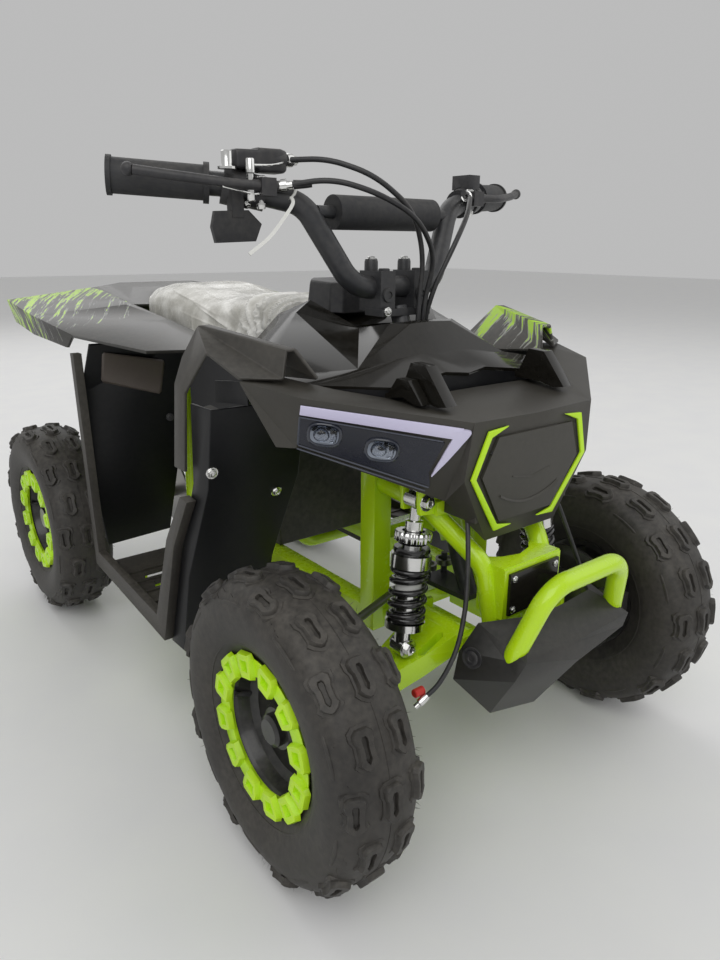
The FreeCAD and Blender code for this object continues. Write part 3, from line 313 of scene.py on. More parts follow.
def node_in(tree, kind, settings=None, **inputs):
    """A new node in a tree. Each input is named by its socket, with an
    underscore for a space, or by n and its number."""
    made = tree.nodes.new(kind)
    for key, value in (settings or {}).items():
        setattr(made, key, value)
    for key, value in inputs.items():
        by_number = key[0] == "n" and key[1:].isdigit()
        give(tree, made.inputs[int(key[1:]) if by_number else key.replace("_", " ")], value)
    return made


def noise(tree, place, scale, detail, **inputs):
    """A noise of zero to one at a place."""
    made = node_in(tree, "ShaderNodeTexNoise", Vector=place, Scale=scale, Detail=detail, **inputs)
    return made.outputs["Fac"]


def worked(tree, operation, *values):
    """A number worked out of others by the operation named."""
    made = node_in(tree, "ShaderNodeMath", {"operation": operation})
    for socket, value in zip(made.inputs, values):
        give(tree, socket, value)
    return made.outputs[0]


def ranged(tree, value, low, high, to_low=0.0, to_high=1.0):
    """A number carried from one range into another and held inside it."""
    made = node_in(tree, "ShaderNodeMapRange", Value=value, From_Min=low, From_Max=high, To_Min=to_low,
                   To_Max=to_high)
    return made.outputs[0]


def between(tree, share, first, second):
    """The number at a share of the way from the first to the second."""
    return node_in(tree, "ShaderNodeMix", n0=share, n2=first, n3=second).outputs[0]


def colour_between(tree, share, first, second):
    """The colour at a share of the way from the first to the second."""
    return node_in(tree, "ShaderNodeMix", {"data_type": "RGBA"}, n0=share, n6=first, n7=second).outputs[2]


class Finish:
    """A material whose Principled shader is fed by short calls."""

    def __init__(self, name, colour, rough=0.5, metal=0.0, coat=0.0):
        """A material of one colour, roughness, share of metal and coat."""
        self.material = bpy.data.materials.new(name)
        self.material.use_nodes = True
        self.tree = self.material.node_tree
        self.shader = self.tree.nodes["Principled BSDF"]
        self.feed(Base_Color=colour, Roughness=rough, Metallic=metal, Coat_Weight=coat)
        self.place = node_in(self.tree, "ShaderNodeTexCoord").outputs["Object"]

    def feed(self, **inputs):
        """Set or link the shader's inputs, an underscore for each space."""
        for key, value in inputs.items():
            give(self.tree, self.shader.inputs[key.replace("_", " ")], value)

    def effect(self, group, **inputs):
        """The outputs of a shared effect at the piece's own place."""
        return node_in(self.tree, "ShaderNodeGroup", {"node_tree": group}, Place=self.place, **inputs).outputs

    def bump(self, height, depth, strength=1.0):
        """Tilt the surface by a height whose full size is depth metres."""
        made = node_in(self.tree, "ShaderNodeBump", Height=height, Distance=depth, Strength=strength)
        self.feed(Normal=made.outputs["Normal"])

    def dust_and_grain(self, colour, rough, dust, fine, coarse, share, depth):
        """Lay dust over a colour and give the surface its grain."""
        dusty = self.effect(shop_dust, Colour=colour, Amount=dust, Roughness=rough)
        self.feed(Base_Color=dusty["Colour"], Roughness=dusty["Roughness"])
        grain = self.effect(mould_grain, Fine=fine, Coarse=coarse, Share=share)
        self.bump(grain["Height"], depth)


def shared_effect(name, inputs, outputs):
    """A shader group with a Place input and the named sockets; gives the
    group, the sockets that it is given and those that it fills."""
    group = bpy.data.node_groups.new(name, "ShaderNodeTree")
    face = group.interface
    face.new_socket(name="Place", in_out="INPUT", socket_type=VECTOR)
    for key, kind, value in inputs:
        face.new_socket(name=key, in_out="INPUT", socket_type=kind).default_value = value
    for key, kind in outputs:
        face.new_socket(name=key, in_out="OUTPUT", socket_type=kind)
    return group, group.nodes.new("NodeGroupInput").outputs, group.nodes.new("NodeGroupOutput").inputs


def dust_effect():
    """Dust: a mask from two noises, thicker where the surface faces up."""
    inputs = [("Colour", COLOUR, (0.5, 0.5, 0.5, 1)), ("Dust", COLOUR, (0.36, 0.33, 0.28, 1)),
              ("Amount", NUMBER, 0.2), ("Roughness", NUMBER, 0.5)]
    group, given, out = shared_effect("shop_dust", inputs, [("Colour", COLOUR), ("Roughness", NUMBER)])
    cloud = noise(group, given["Place"], 14.0, 7.0, Roughness=0.6)
    speck = noise(group, given["Place"], 160.0, 3.0)
    normal = node_in(group, "ShaderNodeNewGeometry").outputs["Normal"]
    facing = node_in(group, "ShaderNodeSeparateXYZ", Vector=normal)
    rise = ranged(group, facing.outputs["Z"], -0.3, 1.0, 0.35, 1.0)
    lift = ranged(group, worked(group, "MULTIPLY", cloud, speck), 0.12, 0.42)
    mask = worked(group, "MULTIPLY", worked(group, "MULTIPLY", lift, rise), given["Amount"])
    give(group, out["Colour"], colour_between(group, mask, given["Colour"], given["Dust"]))
    give(group, out["Roughness"], between(group, mask, given["Roughness"], 0.9))
    return group


def grain_effect():
    """Grain: fine noise and a coarser one mixed to one height."""
    inputs = [("Fine", NUMBER, 900.0), ("Coarse", NUMBER, 60.0), ("Share", NUMBER, 0.5)]
    group, given, out = shared_effect("mould_grain", inputs, [("Height", NUMBER)])
    fine = noise(group, given["Place"], given["Fine"], 2.0)
    coarse = noise(group, given["Place"], given["Coarse"], 3.0)
    give(group, out["Height"], between(group, given["Share"], fine, coarse))
    return group


def tint_effect():
    """Tint: the colour drifts between two tones with a slow noise."""
    inputs = [("First", COLOUR, (0.5, 0.5, 0.5, 1)), ("Second", COLOUR, (0.5, 0.5, 0.5, 1)),
              ("Scale", NUMBER, TINT_SCALE)]
    group, given, out = shared_effect("slow_tint", inputs, [("Colour", COLOUR)])
    spread = ranged(group, noise(group, given["Place"], given["Scale"], 4.0), 0.35, 0.65)
    give(group, out["Colour"], colour_between(group, spread, given["First"], given["Second"]))
    return group


def streak_effect():
    """Streaks: a noise stretched along a slanting line and cut at two
    levels, inside a box of the given low and high corners. Mirror takes x
    without its sign, and Upward thickens the streaks with height instead
    of towards the rear."""
    inputs = [("Across", NUMBER, 90.0), ("Slant", NUMBER, 0.6), ("Mirror", NUMBER, 1.0),
              ("Upward", NUMBER, 0.0), ("Low", VECTOR, (0, 0, 0)), ("High", VECTOR, (1, 1, 1))]
    group, given, out = shared_effect("streak_mark", inputs, [("Bright", NUMBER), ("Pale", NUMBER)])
    x, y, z = node_in(group, "ShaderNodeSeparateXYZ", Vector=given["Place"]).outputs
    wide = between(group, given["Mirror"], x, worked(group, "ABSOLUTE", x))
    lean = worked(group, "MULTIPLY_ADD", y, given["Slant"], wide)
    cross = worked(group, "MULTIPLY", worked(group, "MULTIPLY_ADD", z, -0.9, lean), given["Across"])
    long, broad = worked(group, "MULTIPLY", y, 9.0), worked(group, "MULTIPLY", wide, 9.0)
    line = node_in(group, "ShaderNodeCombineXYZ", X=broad, Y=long, Z=cross)
    streak = noise(group, line.outputs[0], 1.0, 5.0, Roughness=0.72)
    lows = node_in(group, "ShaderNodeSeparateXYZ", Vector=given["Low"]).outputs
    highs = node_in(group, "ShaderNodeSeparateXYZ", Vector=given["High"]).outputs
    inside = 1.0
    for place, low, high in zip((wide, y, z), lows, highs):
        above, below = worked(group, "GREATER_THAN", place, low), worked(group, "LESS_THAN", place, high)
        inside = worked(group, "MULTIPLY", worked(group, "MULTIPLY", above, below), inside)
    rearward, upward = (ranged(group, place, lows[k], highs[k]) for k, place in ((1, y), (2, z)))
    near = between(group, given["Upward"], rearward, upward)
    for name, far_level, near_level in (("Bright", 0.66, 0.44), ("Pale", 0.60, 0.42)):
        cut = worked(group, "GREATER_THAN", streak, between(group, near, far_level, near_level))
        give(group, out[name], worked(group, "MULTIPLY", cut, inside))
    return group


shop_dust, mould_grain, slow_tint, streak_mark = dust_effect(), grain_effect(), tint_effect(), streak_effect()


def surface(name, first, second, rough, depth, fine, coarse, dust, metal=0.0, coat=0.0, shine=0.5):
    """A finish that drifts between two colours, dusty and grained: its
    roughness, the grain's depth in metres and fine and coarse scales, the
    amount of dust, and the shares of metal, clear coat and shine."""
    made = Finish(name, first, rough, metal, coat)
    tone = made.effect(slow_tint, First=first, Second=second, Scale=TINT_SCALE)
    made.dust_and_grain(tone["Colour"], rough, dust, fine, coarse, 0.5, depth)
    made.feed(Specular_IOR_Level=shine)
    return made


def scratched(name, plain, bright, pale, rough, across, low, high, coat=0.0, slant=0.6, mirror=1.0,
              upward=0.0):
    """A plastic with a printed band: slanting streaks of lime over grey, in
    a box of the piece's own space given by its low and high corners."""
    made = Finish(name, plain, rough, coat=coat)
    second = tuple(c * 1.3 + 0.004 for c in plain)
    tone = made.effect(slow_tint, First=plain, Second=second, Scale=TINT_SCALE)
    streak = made.effect(streak_mark, Across=across, Slant=slant, Mirror=mirror, Upward=upward, Low=low,
                         High=high)
    grey = colour_between(made.tree, streak["Pale"], tone["Colour"], pale)
    printed = colour_between(made.tree, streak["Bright"], grey, bright)
    made.dust_and_grain(printed, rough, 0.12, 1100.0, 60.0, 0.4, 0.0002)
    return made


def rgb(r, g, b):
    """Screen values of 0 to 255 as linear light."""
    c = np.array((r, g, b)) / 255
    return tuple(float(x) for x in np.where(c <= 0.04045, c / 12.92, ((c + 0.055) / 1.055) ** 2.4))


def film_finish():
    """Thin milky film, whiter and less clear along its folds, which are
    stored on the mesh, as a painted highlight on the fold ridges; greyer
    between them as painted shade in the valleys, and clear enough there to
    show the seat."""
    made = Finish("seat_film", rgb(214, 212, 204), 0.3)
    fold = node_in(made.tree, "ShaderNodeAttribute", {"attribute_name": "fold", "attribute_type": "GEOMETRY"})
    cloud, fine = noise(made.tree, made.place, 34.0, 5.0), noise(made.tree, made.place, 160.0, 4.0)
    mixed = worked(made.tree, "MULTIPLY_ADD", fold.outputs["Fac"], 0.5, cloud)
    # painted highlight and shade: the colour runs from grey in the fold valleys to white on the ridges
    white = ranged(made.tree, mixed, 0.42, 0.92)
    tone = colour_between(made.tree, white, rgb(206, 204, 195), rgb(250, 249, 244))
    cover = ranged(made.tree, mixed, 0.35, 0.85, 0.76, 1.0)
    made.feed(Alpha=cover, Base_Color=tone, Roughness=ranged(made.tree, fine, 0.3, 0.7, 0.12, 0.34))
    made.bump(fine, 0.0005, 0.5)
    return made


def lens_finish():
    """Clear plastic whose surface is a little uneven."""
    made = Finish("clear_lens", (0.95, 0.96, 0.98), 0.02)
    made.feed(Transmission_Weight=1.0, IOR=1.45)
    made.bump(noise(made.tree, made.place, 300.0, 1.0), 0.00004, 0.3)
    return made


# Each finish: its two colours, roughness, the grain's depth in metres and
# its fine and coarse scales, and the amount of dust
lime_coat = surface("lime_powder_coat", rgb(182, 222, 10), rgb(194, 232, 18), 0.26, 0.0003, 420, 90,
                    0.05, coat=0.35)
lime_mould = surface("lime_moulding", rgb(180, 226, 12), rgb(194, 238, 22), 0.34, 0.0002, 700, 60, 0.05)
nose_plastic = surface("matte_nose_plastic", rgb(50, 48, 43), rgb(55, 53, 47), 0.46, 0.00022, 1400, 90, 0.05)
gloss_plastic = surface("gloss_black_plastic", rgb(20, 19, 16), rgb(27, 25, 21), 0.13, 0.00003, 500, 30,
                        0.03, coat=0.10, shine=0.26)
tray_plastic = surface("tray_plastic", rgb(44, 41, 37), rgb(52, 49, 44), 0.5, 0.0003, 1000, 70, 0.14)
liner_plastic = surface("liner_plastic", rgb(12, 13, 16), rgb(17, 18, 21), 0.42, 0.0002, 1200, 80, 0.03,
                        shine=0.3)
rubber = surface("tyre_rubber", rgb(34, 32, 30), rgb(44, 41, 37), 0.55, 0.0003, 900, 140, 0.16)
rim_paint = surface("rim_paint", rgb(20, 20, 21), rgb(28, 28, 28), 0.3, 0.00008, 600, 40, 0.12, coat=0.2)
bar_paint = surface("bar_paint", rgb(34, 36, 40), rgb(44, 45, 48), 0.4, 0.00008, 900, 60, 0.12)
grip_rubber = surface("grip_rubber", rgb(30, 31, 34), rgb(38, 39, 42), 0.62, 0.0003, 900, 150, 0.14)
housing_plastic = surface("housing_plastic", rgb(30, 31, 34), rgb(42, 42, 46), 0.45, 0.0002, 1100, 70, 0.16)
lamp_plastic = surface("lamp_recess_plastic", rgb(16, 20, 32), rgb(24, 28, 42), 0.22, 0.00004, 500, 40, 0.05)
light_bar = surface("light_bar", rgb(205, 200, 228), rgb(214, 210, 234), 0.35, 0.0001, 300, 40, 0.03)
chrome = surface("bright_steel", rgb(208, 208, 206), rgb(224, 224, 222), 0.16, 0.00003, 400, 60, 0.05,
                 metal=1.0)
raw_steel = surface("axle_steel", rgb(120, 120, 120), rgb(150, 148, 144), 0.34, 0.0001, 500, 80, 0.12,
                    metal=1.0)
alloy = surface("cast_alloy", rgb(70, 70, 72), rgb(96, 94, 92), 0.4, 0.0003, 600, 90, 0.15, metal=0.8)
cable_rubber = surface("cable_rubber", rgb(24, 25, 28), rgb(36, 37, 40), 0.38, 0.00008, 800, 60, 0.12)
engine_paint = surface("engine_block_paint", rgb(38, 38, 38), rgb(52, 50, 48), 0.5, 0.0004, 500, 60, 0.25)
spring_paint = surface("spring_paint", rgb(14, 14, 15), rgb(24, 24, 25), 0.22, 0.00005, 700, 60, 0.06,
                       coat=0.4)
seat_vinyl = surface("seat_vinyl", rgb(36, 36, 36), rgb(48, 47, 46), 0.42, 0.0004, 700, 240, 0.10)
label_white = surface("plain_label", rgb(206, 206, 202), rgb(222, 222, 218), 0.4, 0.00005, 300, 60, 0.05)
bezel_plastic = surface("lamp_bezel", rgb(30, 34, 46), rgb(44, 50, 62), 0.16, 0.00003, 400, 40, 0.03,
                        coat=0.5)
bezel_line = surface("lamp_frame_line", rgb(58, 62, 74), rgb(76, 80, 92), 0.3, 0.00004, 500, 60, 0.05)
mirror_bowl = surface("lamp_bowl", rgb(104, 110, 122), rgb(150, 156, 166), 0.08, 0.00006, 700, 300, 0.0,
                      metal=1.0)
guard_plastic = surface("guard_plastic", rgb(34, 34, 32), rgb(42, 41, 38), 0.5, 0.0003, 1200, 80, 0.06)
tie_white = surface("tie_white", rgb(216, 216, 210), rgb(228, 228, 224), 0.4, 0.00005, 500, 60, 0.02)
red_plastic = surface("red_plastic", rgb(186, 40, 36), rgb(204, 52, 44), 0.35, 0.00005, 500, 60, 0.03)
plate_face = surface("plate_face", rgb(78, 70, 66), rgb(92, 84, 78), 0.35, 0.00004, 600, 60, 0.06)
film, clear_lens = film_finish(), lens_finish()
streak_lime = rgb(176, 222, 24)
fin_plastic = scratched("fin_plastic", rgb(52, 50, 46), streak_lime, rgb(150, 152, 146), 0.46, 110.0,
                        (0.150, -0.40, 0.490), (0.2325, -0.17, 0.548), mirror=0.0, upward=1.0)
fender_plastic = scratched("fender_plastic", rgb(30, 29, 26), streak_lime, rgb(120, 122, 118), 0.34, 90.0,
                           (0.128, 0.205, 0.45), (0.30, 0.55, 0.60), coat=0.1, slant=0.75)

WORN = {
    lime_coat: "main_frame nose_frame seat_rails footrest_loops front_bumper front_arms swingarm",
    lime_mould: "bead_ring_fr bead_ring_fl rear_bead_rings grille_trim",
    nose_plastic: "fascia grille_insert lower_guard",
    gloss_plastic: "hood box_panel",
    fin_plastic: "front_fenders",
    fender_plastic: "rear_body",
    tray_plastic: "foot_trays",
    liner_plastic: "arch_liners footwell_walls",
    rubber: "tyre_fr tyre_fl rear_tyres",
    rim_paint: "rim_fr rim_fl rear_rims",
    bar_paint: "handlebar steering_column",
    grip_rubber: "grips crossbar_pad",
    housing_plastic: "brake_levers throttle_housing switch_box",
    lamp_plastic: "headlamps",
    light_bar: "led_strips",
    chrome: "front_shocks",
    raw_steel: "rear_axle tie_rod_r tie_rod_l",
    alloy: "knuckle_r knuckle_l",
    cable_rubber: "cables",
    engine_paint: "engine_block",
    spring_paint: "front_springs rear_shock",
}


def dress_nodes():
    """Each CAD node takes its finish in all its material slots."""
    for finish, names in WORN.items():
        for name in names.split():
            mesh = nodes[name].data
            if not mesh.materials:
                mesh.materials.append(finish.material)
            for k in range(len(mesh.materials)):
                mesh.materials[k] = finish.material


dress_nodes()


# Tyres, in millimetres: the carcass's outline as (across, radius); half of a
# knob's outline as (along, across); the knob's steps as the outline's share
# along, its share across and the height; its rows as (across, later by this
# share of a knob, tilt in degrees); the shoulder as (across, radius)
TREAD_LINE = [(-28.5, 76.3), (-33, 86), (-42, 102), (-46, 122), (-44.5, 136), (-38, 149), (-24, 156),
              (0, 158.5), (24, 156), (38, 149), (44.5, 136), (46, 122), (42, 102), (33, 86),
              (28.5, 76.3)]
KNOB_HALF = [(-18.0, 5.5), (-14.5, 9.4), (-8.5, 9.4), (-4.5, 7.6), (7.0, 7.6), (10.5, 9.2), (14.5, 6.4),
             (18.0, 1.6)]
KNOB_STEPS = [(1.24, 1.40, -3.0), (1.20, 1.34, 0.9), (1.08, 1.12, 1.2), (1.03, 1.05, 1.6),
              (0.99, 0.98, 5.4), (0.95, 0.91, 6.3), (0.68, 0.42, 6.3), (0.65, 0.33, 5.9),
              (0.60, 0.25, 2.4)]
KNOB_ROWS = [(0.0, 0.0, 0.0), (18.5, 0.5, 7.0), (-18.5, 0.5, -7.0), (33.6, 0.0, 30.0), (-33.6, 0.0, -30.0)]
SHOULDER = [(0, 158.5), (24, 156), (38, 149), (44.5, 136)]
KNOBS_AROUND = 9
FIRST_KNOB = math.radians(6)
TREAD_RADIUS, KNOB_SUNK = 160, 0.2
STEPS_AROUND = 144
HAIR_COUNT = 150


def about_axle(across, turn, radius):
    """Points at a distance across, a turn forward from the top and a radius
    about an axle: (across, -radius sin turn, radius cos turn)."""
    return np.stack([across + 0 * turn, -radius * np.sin(turn), radius * np.cos(turn)], -1)


def knob_part():
    """One knob as rings: its outline times each step's two shares, at each
    step's height; (along the tyre, across it, height) in millimetres."""
    half = np.array(KNOB_HALF)
    outline = np.vstack([half, half[::-1] * (1, -1)])
    steps = np.array(KNOB_STEPS)
    flat = outline[None, :, :] * steps[:, None, :2]
    rings = np.concatenate([flat, np.broadcast_to(steps[:, None, 2:], flat.shape[:2] + (1,))], -1)
    count = len(outline)
    points = np.vstack([rings.reshape(-1, 3), [[0, 0, steps[-1, 2]]]])
    faces = [f[::-1] for f in grid_faces(len(steps), count, around=True)]
    last = (len(steps) - 1) * count
    faces += [(last + k, len(points) - 1, last + (k + 1) % count) for k in range(count)]
    return points, faces


def tyre_parts():
    """Carcass: the tread line turned about the axle. Knobs: each row's knob
    laid on it, tilted outwards. Then a line left by the mould round the
    middle, ribs on the sidewalls, the raised rings next to the rim, and
    fine rubber hairs on the shoulders."""
    line = smooth_line(TREAD_LINE, 4)
    carcass = about_axle(line[None, :, 0], circle(STEPS_AROUND)[:, None], line[None, :, 1])
    parts = [(carcass, grid_faces(STEPS_AROUND, len(line), along=True))]
    knob, knob_faces = knob_part()
    level = np.interp(np.abs([r[0] for r in KNOB_ROWS]), *np.transpose(SHOULDER))
    pitch = 2 * math.pi / KNOBS_AROUND
    for (shift, later, tilt), foot in zip(KNOB_ROWS, level):
        lean = math.radians(tilt)
        across = shift + knob[:, 1] * math.cos(lean) + knob[:, 2] * math.sin(lean)
        radius = foot - knob[:, 1] * math.sin(lean) + knob[:, 2] * math.cos(lean) - KNOB_SUNK
        for k in range(KNOBS_AROUND):
            turn = FIRST_KNOB + pitch * (k + later) + knob[:, 0] / TREAD_RADIUS
            parts.append((about_axle(across, turn, radius), knob_faces))
    parts.append(ring_tube(0.0, 158.4, 0.6, 0.7))
    parts += [side_rib(side, k) for side in (-1, 1) for k in range(KNOBS_AROUND)]
    parts += [ring_tube(side * 38.6, 96.5, 1.1, 1.6) for side in (-1, 1)]
    parts.append(hairs())
    return joined(parts)


def ring_tube(across, radius, wide, high, sides=6):
    """A thin ring round the tyre whose section is an ellipse."""
    a = circle(sides)[None, :]
    points = about_axle(across + wide * np.cos(a), circle(STEPS_AROUND)[:, None], radius + high * np.sin(a))
    return points, [f[::-1] for f in grid_faces(STEPS_AROUND, sides, around=True, along=True)]


def side_rib(side, k):
    """A low bar on the sidewall, in line with the pairs of knobs: a flat
    tube along the turn whose height falls to nothing at both ends."""
    rows, sides = 15, 8
    along = np.linspace(-1, 1, rows)[:, None]
    a = circle(sides)[None, :]
    fall = (1 - along**4) ** 0.5 + 0.02
    turn = FIRST_KNOB + 2 * math.pi / KNOBS_AROUND * (k + 0.5) + along * 0.15
    points = about_axle(side * (43.2 + 1.6 * fall * np.cos(a)), turn, 138.5 + 2.4 * fall * np.sin(a))
    last = (rows - 1) * sides
    faces = [f[::-1] for f in grid_faces(rows, sides, around=True)]
    faces += [list(range(sides - 1, -1, -1)), list(range(last, last + sides))]
    return points, faces if side > 0 else [f[::-1] for f in faces]


def hairs():
    """Rubber hairs: thin three-sided spikes on both shoulders, leaning out,
    with turns, lengths and leans drawn from a seeded generator."""
    draw = np.random.default_rng(41)
    side = np.where(draw.random(HAIR_COUNT) < 0.5, -1.0, 1.0)
    turn = draw.random(HAIR_COUNT) * 2 * math.pi
    foot_x, foot_r = side * draw.uniform(36, 43.5, HAIR_COUNT), draw.uniform(139, 153, HAIR_COUNT)
    foot_r = np.minimum(foot_r, 176 - 0.72 * np.abs(foot_x))
    long = draw.uniform(3.5, 7.0, HAIR_COUNT)
    lean = draw.uniform(0.2, 1.2, HAIR_COUNT)
    tip_x = foot_x + side * long * np.sin(lean) * 0.7
    tip_r = np.minimum(foot_r + long * np.cos(lean) + 2, 163.5)
    a = np.arange(3) * 2 * math.pi / 3
    base = about_axle(foot_x[:, None] + 0.5 * np.cos(a), turn[:, None] + 0.0 * a,
                      foot_r[:, None] + 0.5 * np.sin(a))
    base[..., 1] += 0.35 * np.sin(a + 1.0)
    tip = about_axle(tip_x, turn + draw.normal(0, 0.01, HAIR_COUNT), tip_r)
    points = np.concatenate([base, tip[:, None, :]], 1).reshape(-1, 3)
    first = np.arange(HAIR_COUNT)[:, None] * 4
    return points, np.concatenate([first + f for f in ((0, 1, 3), (1, 2, 3), (2, 0, 3), (2, 1, 0))], 0)


def build_tyres():
    """The same tyre at each wheel; the two rear ones make one piece."""
    points, faces = tyre_parts()
    for body, node, _, places in WHEELS:
        spots = [np.array((across * HALF_TRACK, along * HALF_BASE, HUB)) for across, along in places]
        p, f = joined([(points / 1000 + spot, faces) for spot in spots])
        piece = show_mesh("knobbed_" + node, p, f, rubber, body)
        soften(piece, 38)
        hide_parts(node)


build_tyres()


# Seat with its film: the seat's rings as (y, half width, low, top) in
# millimetres, the place (y, z) where the film is bunched, and how much
# larger than measured the film is when it is laid flat
SEAT_RINGS = [(-58, 40, 520, 546), (-48, 54, 508, 552), (-30, 65, 488, 554), (22, 78, 470, 552),
              (72, 86, 468, 550), (112, 92, 468, 551), (165, 97, 468, 556), (210, 99, 470, 562),
              (262, 97, 477, 563), (300, 87, 490, 559), (318, 76, 500, 550), (327, 62, 512, 538)]
BUNCH = (-34.0, 492.0)
STRETCH = 1.02


def seat_section(along, around, out=0.0):
    """A point of the seat's skin: at a share along, the ring's half width
    and two heights come from a smooth line through the rings; round it, x is
    the width times a softened cosine and z a softened sine about the middle
    of the heights. out pushes it away from the ring's middle."""
    line = smooth_line(SEAT_RINGS, 12)
    at = np.linspace(0, 1, len(line))
    y, wide, low, top = (np.interp(along, at, line[:, k]) for k in range(4))
    s = np.sin(around)
    crown = np.where(s > 0, softened(s, 0.72), softened(s, 0.5))
    z = (top + low) / 2 + ((top - low) / 2 + out) * crown
    return np.stack([(wide + out) * softened(np.cos(around), 0.55), y + 0 * around, z], -1)


def swell(piece, voxel, pressure, cap):
    """Remesh the pad evenly, let a cloth under pressure fill it for twenty
    frames, hold each point within cap of its start, and keep the result."""
    scene = bpy.context.scene
    remesh = piece.modifiers.new("even", "REMESH")
    remesh.mode = "VOXEL"
    remesh.voxel_size = voxel
    keep_modifiers(piece)
    start = points_of(piece)
    cloth = piece.modifiers.new("fill", "CLOTH")
    cloth.settings.use_pressure = True
    cloth.settings.uniform_pressure_force = pressure
    cloth.settings.effector_weights.gravity = 0
    cloth.point_cache.frame_start, cloth.point_cache.frame_end = 1, 20
    for number in range(1, 21):
        scene.frame_set(number)
    keep_modifiers(piece)
    scene.frame_set(1)
    moved = points_of(piece) - start
    far = np.linalg.norm(moved, axis=1, keepdims=True)
    held = start + moved * np.minimum(1.0, cap / np.maximum(far, 1e-9))
    piece.data.vertices.foreach_set("co", held.astype(np.float32).ravel())
    smooth = piece.modifiers.new("finer", "SUBSURF")
    smooth.levels = smooth.render_levels = 1
    keep_modifiers(piece)
    piece.data.shade_smooth()


def points_of(piece):
    """The places of the piece's vertices, as rows of x, y and z."""
    co = np.empty(len(piece.data.vertices) * 3, np.float32)
    piece.data.vertices.foreach_get("co", co)
    return co.reshape(-1, 3).astype(float)


def soft_noise(x, y, seed):
    """Smooth random heights: a lattice of seeded numbers with cubic easing
    between its knots."""
    table = np.random.default_rng(seed).uniform(-1, 1, (64, 64))
    i, j = np.floor(x).astype(int), np.floor(y).astype(int)
    u, v = x - i, y - j
    u, v = u * u * (3 - 2 * u), v * v * (3 - 2 * v)
    a, b = table[i % 64, j % 64], table[(i + 1) % 64, j % 64]
    c, d = table[i % 64, (j + 1) % 64], table[(i + 1) % 64, (j + 1) % 64]
    return (a * (1 - u) + b * u) * (1 - v) + (c * (1 - u) + d * u) * v


def crease(x, y, seed, sharp=3.0):
    """Folds: one minus the size of a smooth noise, to a power, so that the
    noise's zero lines stand up as ridges."""
    return np.clip(1 - np.abs(soft_noise(x, y, seed)) * 1.6, 0, 1) ** sharp


def film_height(points, side):
    """How far the film stands off the seat, and how marked it is there by its
    folds: a fan of folds that run from where it is bunched at the front,
    softer creases lengthwise and small crumples at the back. The mark later
    paints the film whiter on its ridges as a highlight."""
    x, y, z = points[..., 0], points[..., 1], points[..., 2]
    dy, dz = y - BUNCH[0], z - BUNCH[1]
    reach = np.hypot(dy, dz)
    turn = np.arctan2(dz, dy)
    fan = crease(turn * 13.0 + side * 5 + 20, reach * 0.010 + 3, 5, 4.0) * np.exp(-(reach / 104.0) ** 2)
    second = crease(turn * 23.0 + 11, reach * 0.02 + side, 9, 2.0) * np.exp(-(reach / 60.0) ** 2)
    long = crease(y * 0.011 + 7, x * 0.042 + 30, 13, 4.0) * 0.5
    droop = crease(y * 0.034 + 2, z * 0.012 + 9, 21, 3.0) * np.clip((545 - z) / 60, 0, 1)
    slow = soft_noise(y * 0.017 + 9, z * 0.03 + x * 0.02 + 11, 31)
    back = crease(y * 0.05 + 1, x * 0.05 + z * 0.05, 17, 2.5) * np.clip((y - 250) / 70, 0, 1)
    height = 2.0 + 10.0 * fan + 4.0 * second + 2.4 * long + 3.4 * droop + 1.4 * slow + 3.0 * back
    return height, fan + 0.6 * droop + 0.5 * back + second


def build_pad():
    """The padded seat: the seat's rings drawn in by 5 mm, then swelled."""
    rings = seat_section(np.linspace(0.0, 1.0, 70)[:, None], circle(72)[None, :], -5.0)
    points, faces = closed_form(rings / 1000)
    pad = show_mesh("seat_pad", points, [f[::-1] for f in faces], seat_vinyl, "chassis")
    outward(pad)
    swell(pad, 0.005, 4.0, 0.005)
    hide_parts("seat")


def build_film():
    """The film over the seat: the seat's skin with the film's height added,
    open below, its hem uneven. Its flat size is its girth and its length
    along the surface, times its stretch."""
    rows, columns = 260, 220
    share = np.linspace(0.0, 1.0, rows)[:, None]
    around = np.linspace(math.radians(-38), math.radians(218), columns)[None, :]
    base = seat_section(share, around)
    height, mark = film_height(base, np.where(base[..., 0] < 0, 1.0, 2.0))
    skin = seat_section(share, around, height)
    hem = 6 * soft_noise(share * 31 + 0 * around, 0 * share + 2.5 + 0 * around, 27)
    skin[..., 2] += np.where(np.abs(np.cos(around)) > 0.55, np.clip((500 - skin[..., 2]) / 30, 0, 1), 0) * hem
    cover = show_mesh("seat_film", skin.reshape(-1, 3) / 1000, grid_faces(rows, columns), film, "chassis")
    outward(cover, open_sheet=True)
    # the fold marks, which the film's finish paints whiter on the ridges as a highlight and greyer between
    # them as shade
    note = cover.data.attributes.new("fold", "FLOAT", "POINT")
    note.data.foreach_set("value", np.clip(mark, 0, 1).astype(np.float32).ravel())
    wide, long = (float(np.linalg.norm(np.diff(skin, axis=k), axis=-1).sum(k).max()) for k in (1, 0))
    wide, long = wide / 1000 * STRETCH, long / 1000 * STRETCH


build_pad()
build_film()


# Springs: both ends of a damper's axis in millimetres, and profiles along it
# as (distance from its lower end, radius)
SHOCK_TOP, SHOCK_LOW = (95.0, -380.0, 372.0), (119.0, -390.0, 209.0)
COIL_SEATS = ([(106.5, 6.5), (106.5, 19.5), (109.5, 20.5), (112.5, 19.5), (112.5, 6.5)],
              [(116, 6.5), (116, 15), (118, 16.5), (120, 15), (120, 6.5)])
DAMPER_COLLARS = ([(93, 6.5), (93, 17), (104, 17), (104, 6.5)],
                  [(130, 6.3), (130, 10), (141, 10), (142, 6.3)])
DAMPER_BAND = [(64, 14.35), (80, 14.35)]


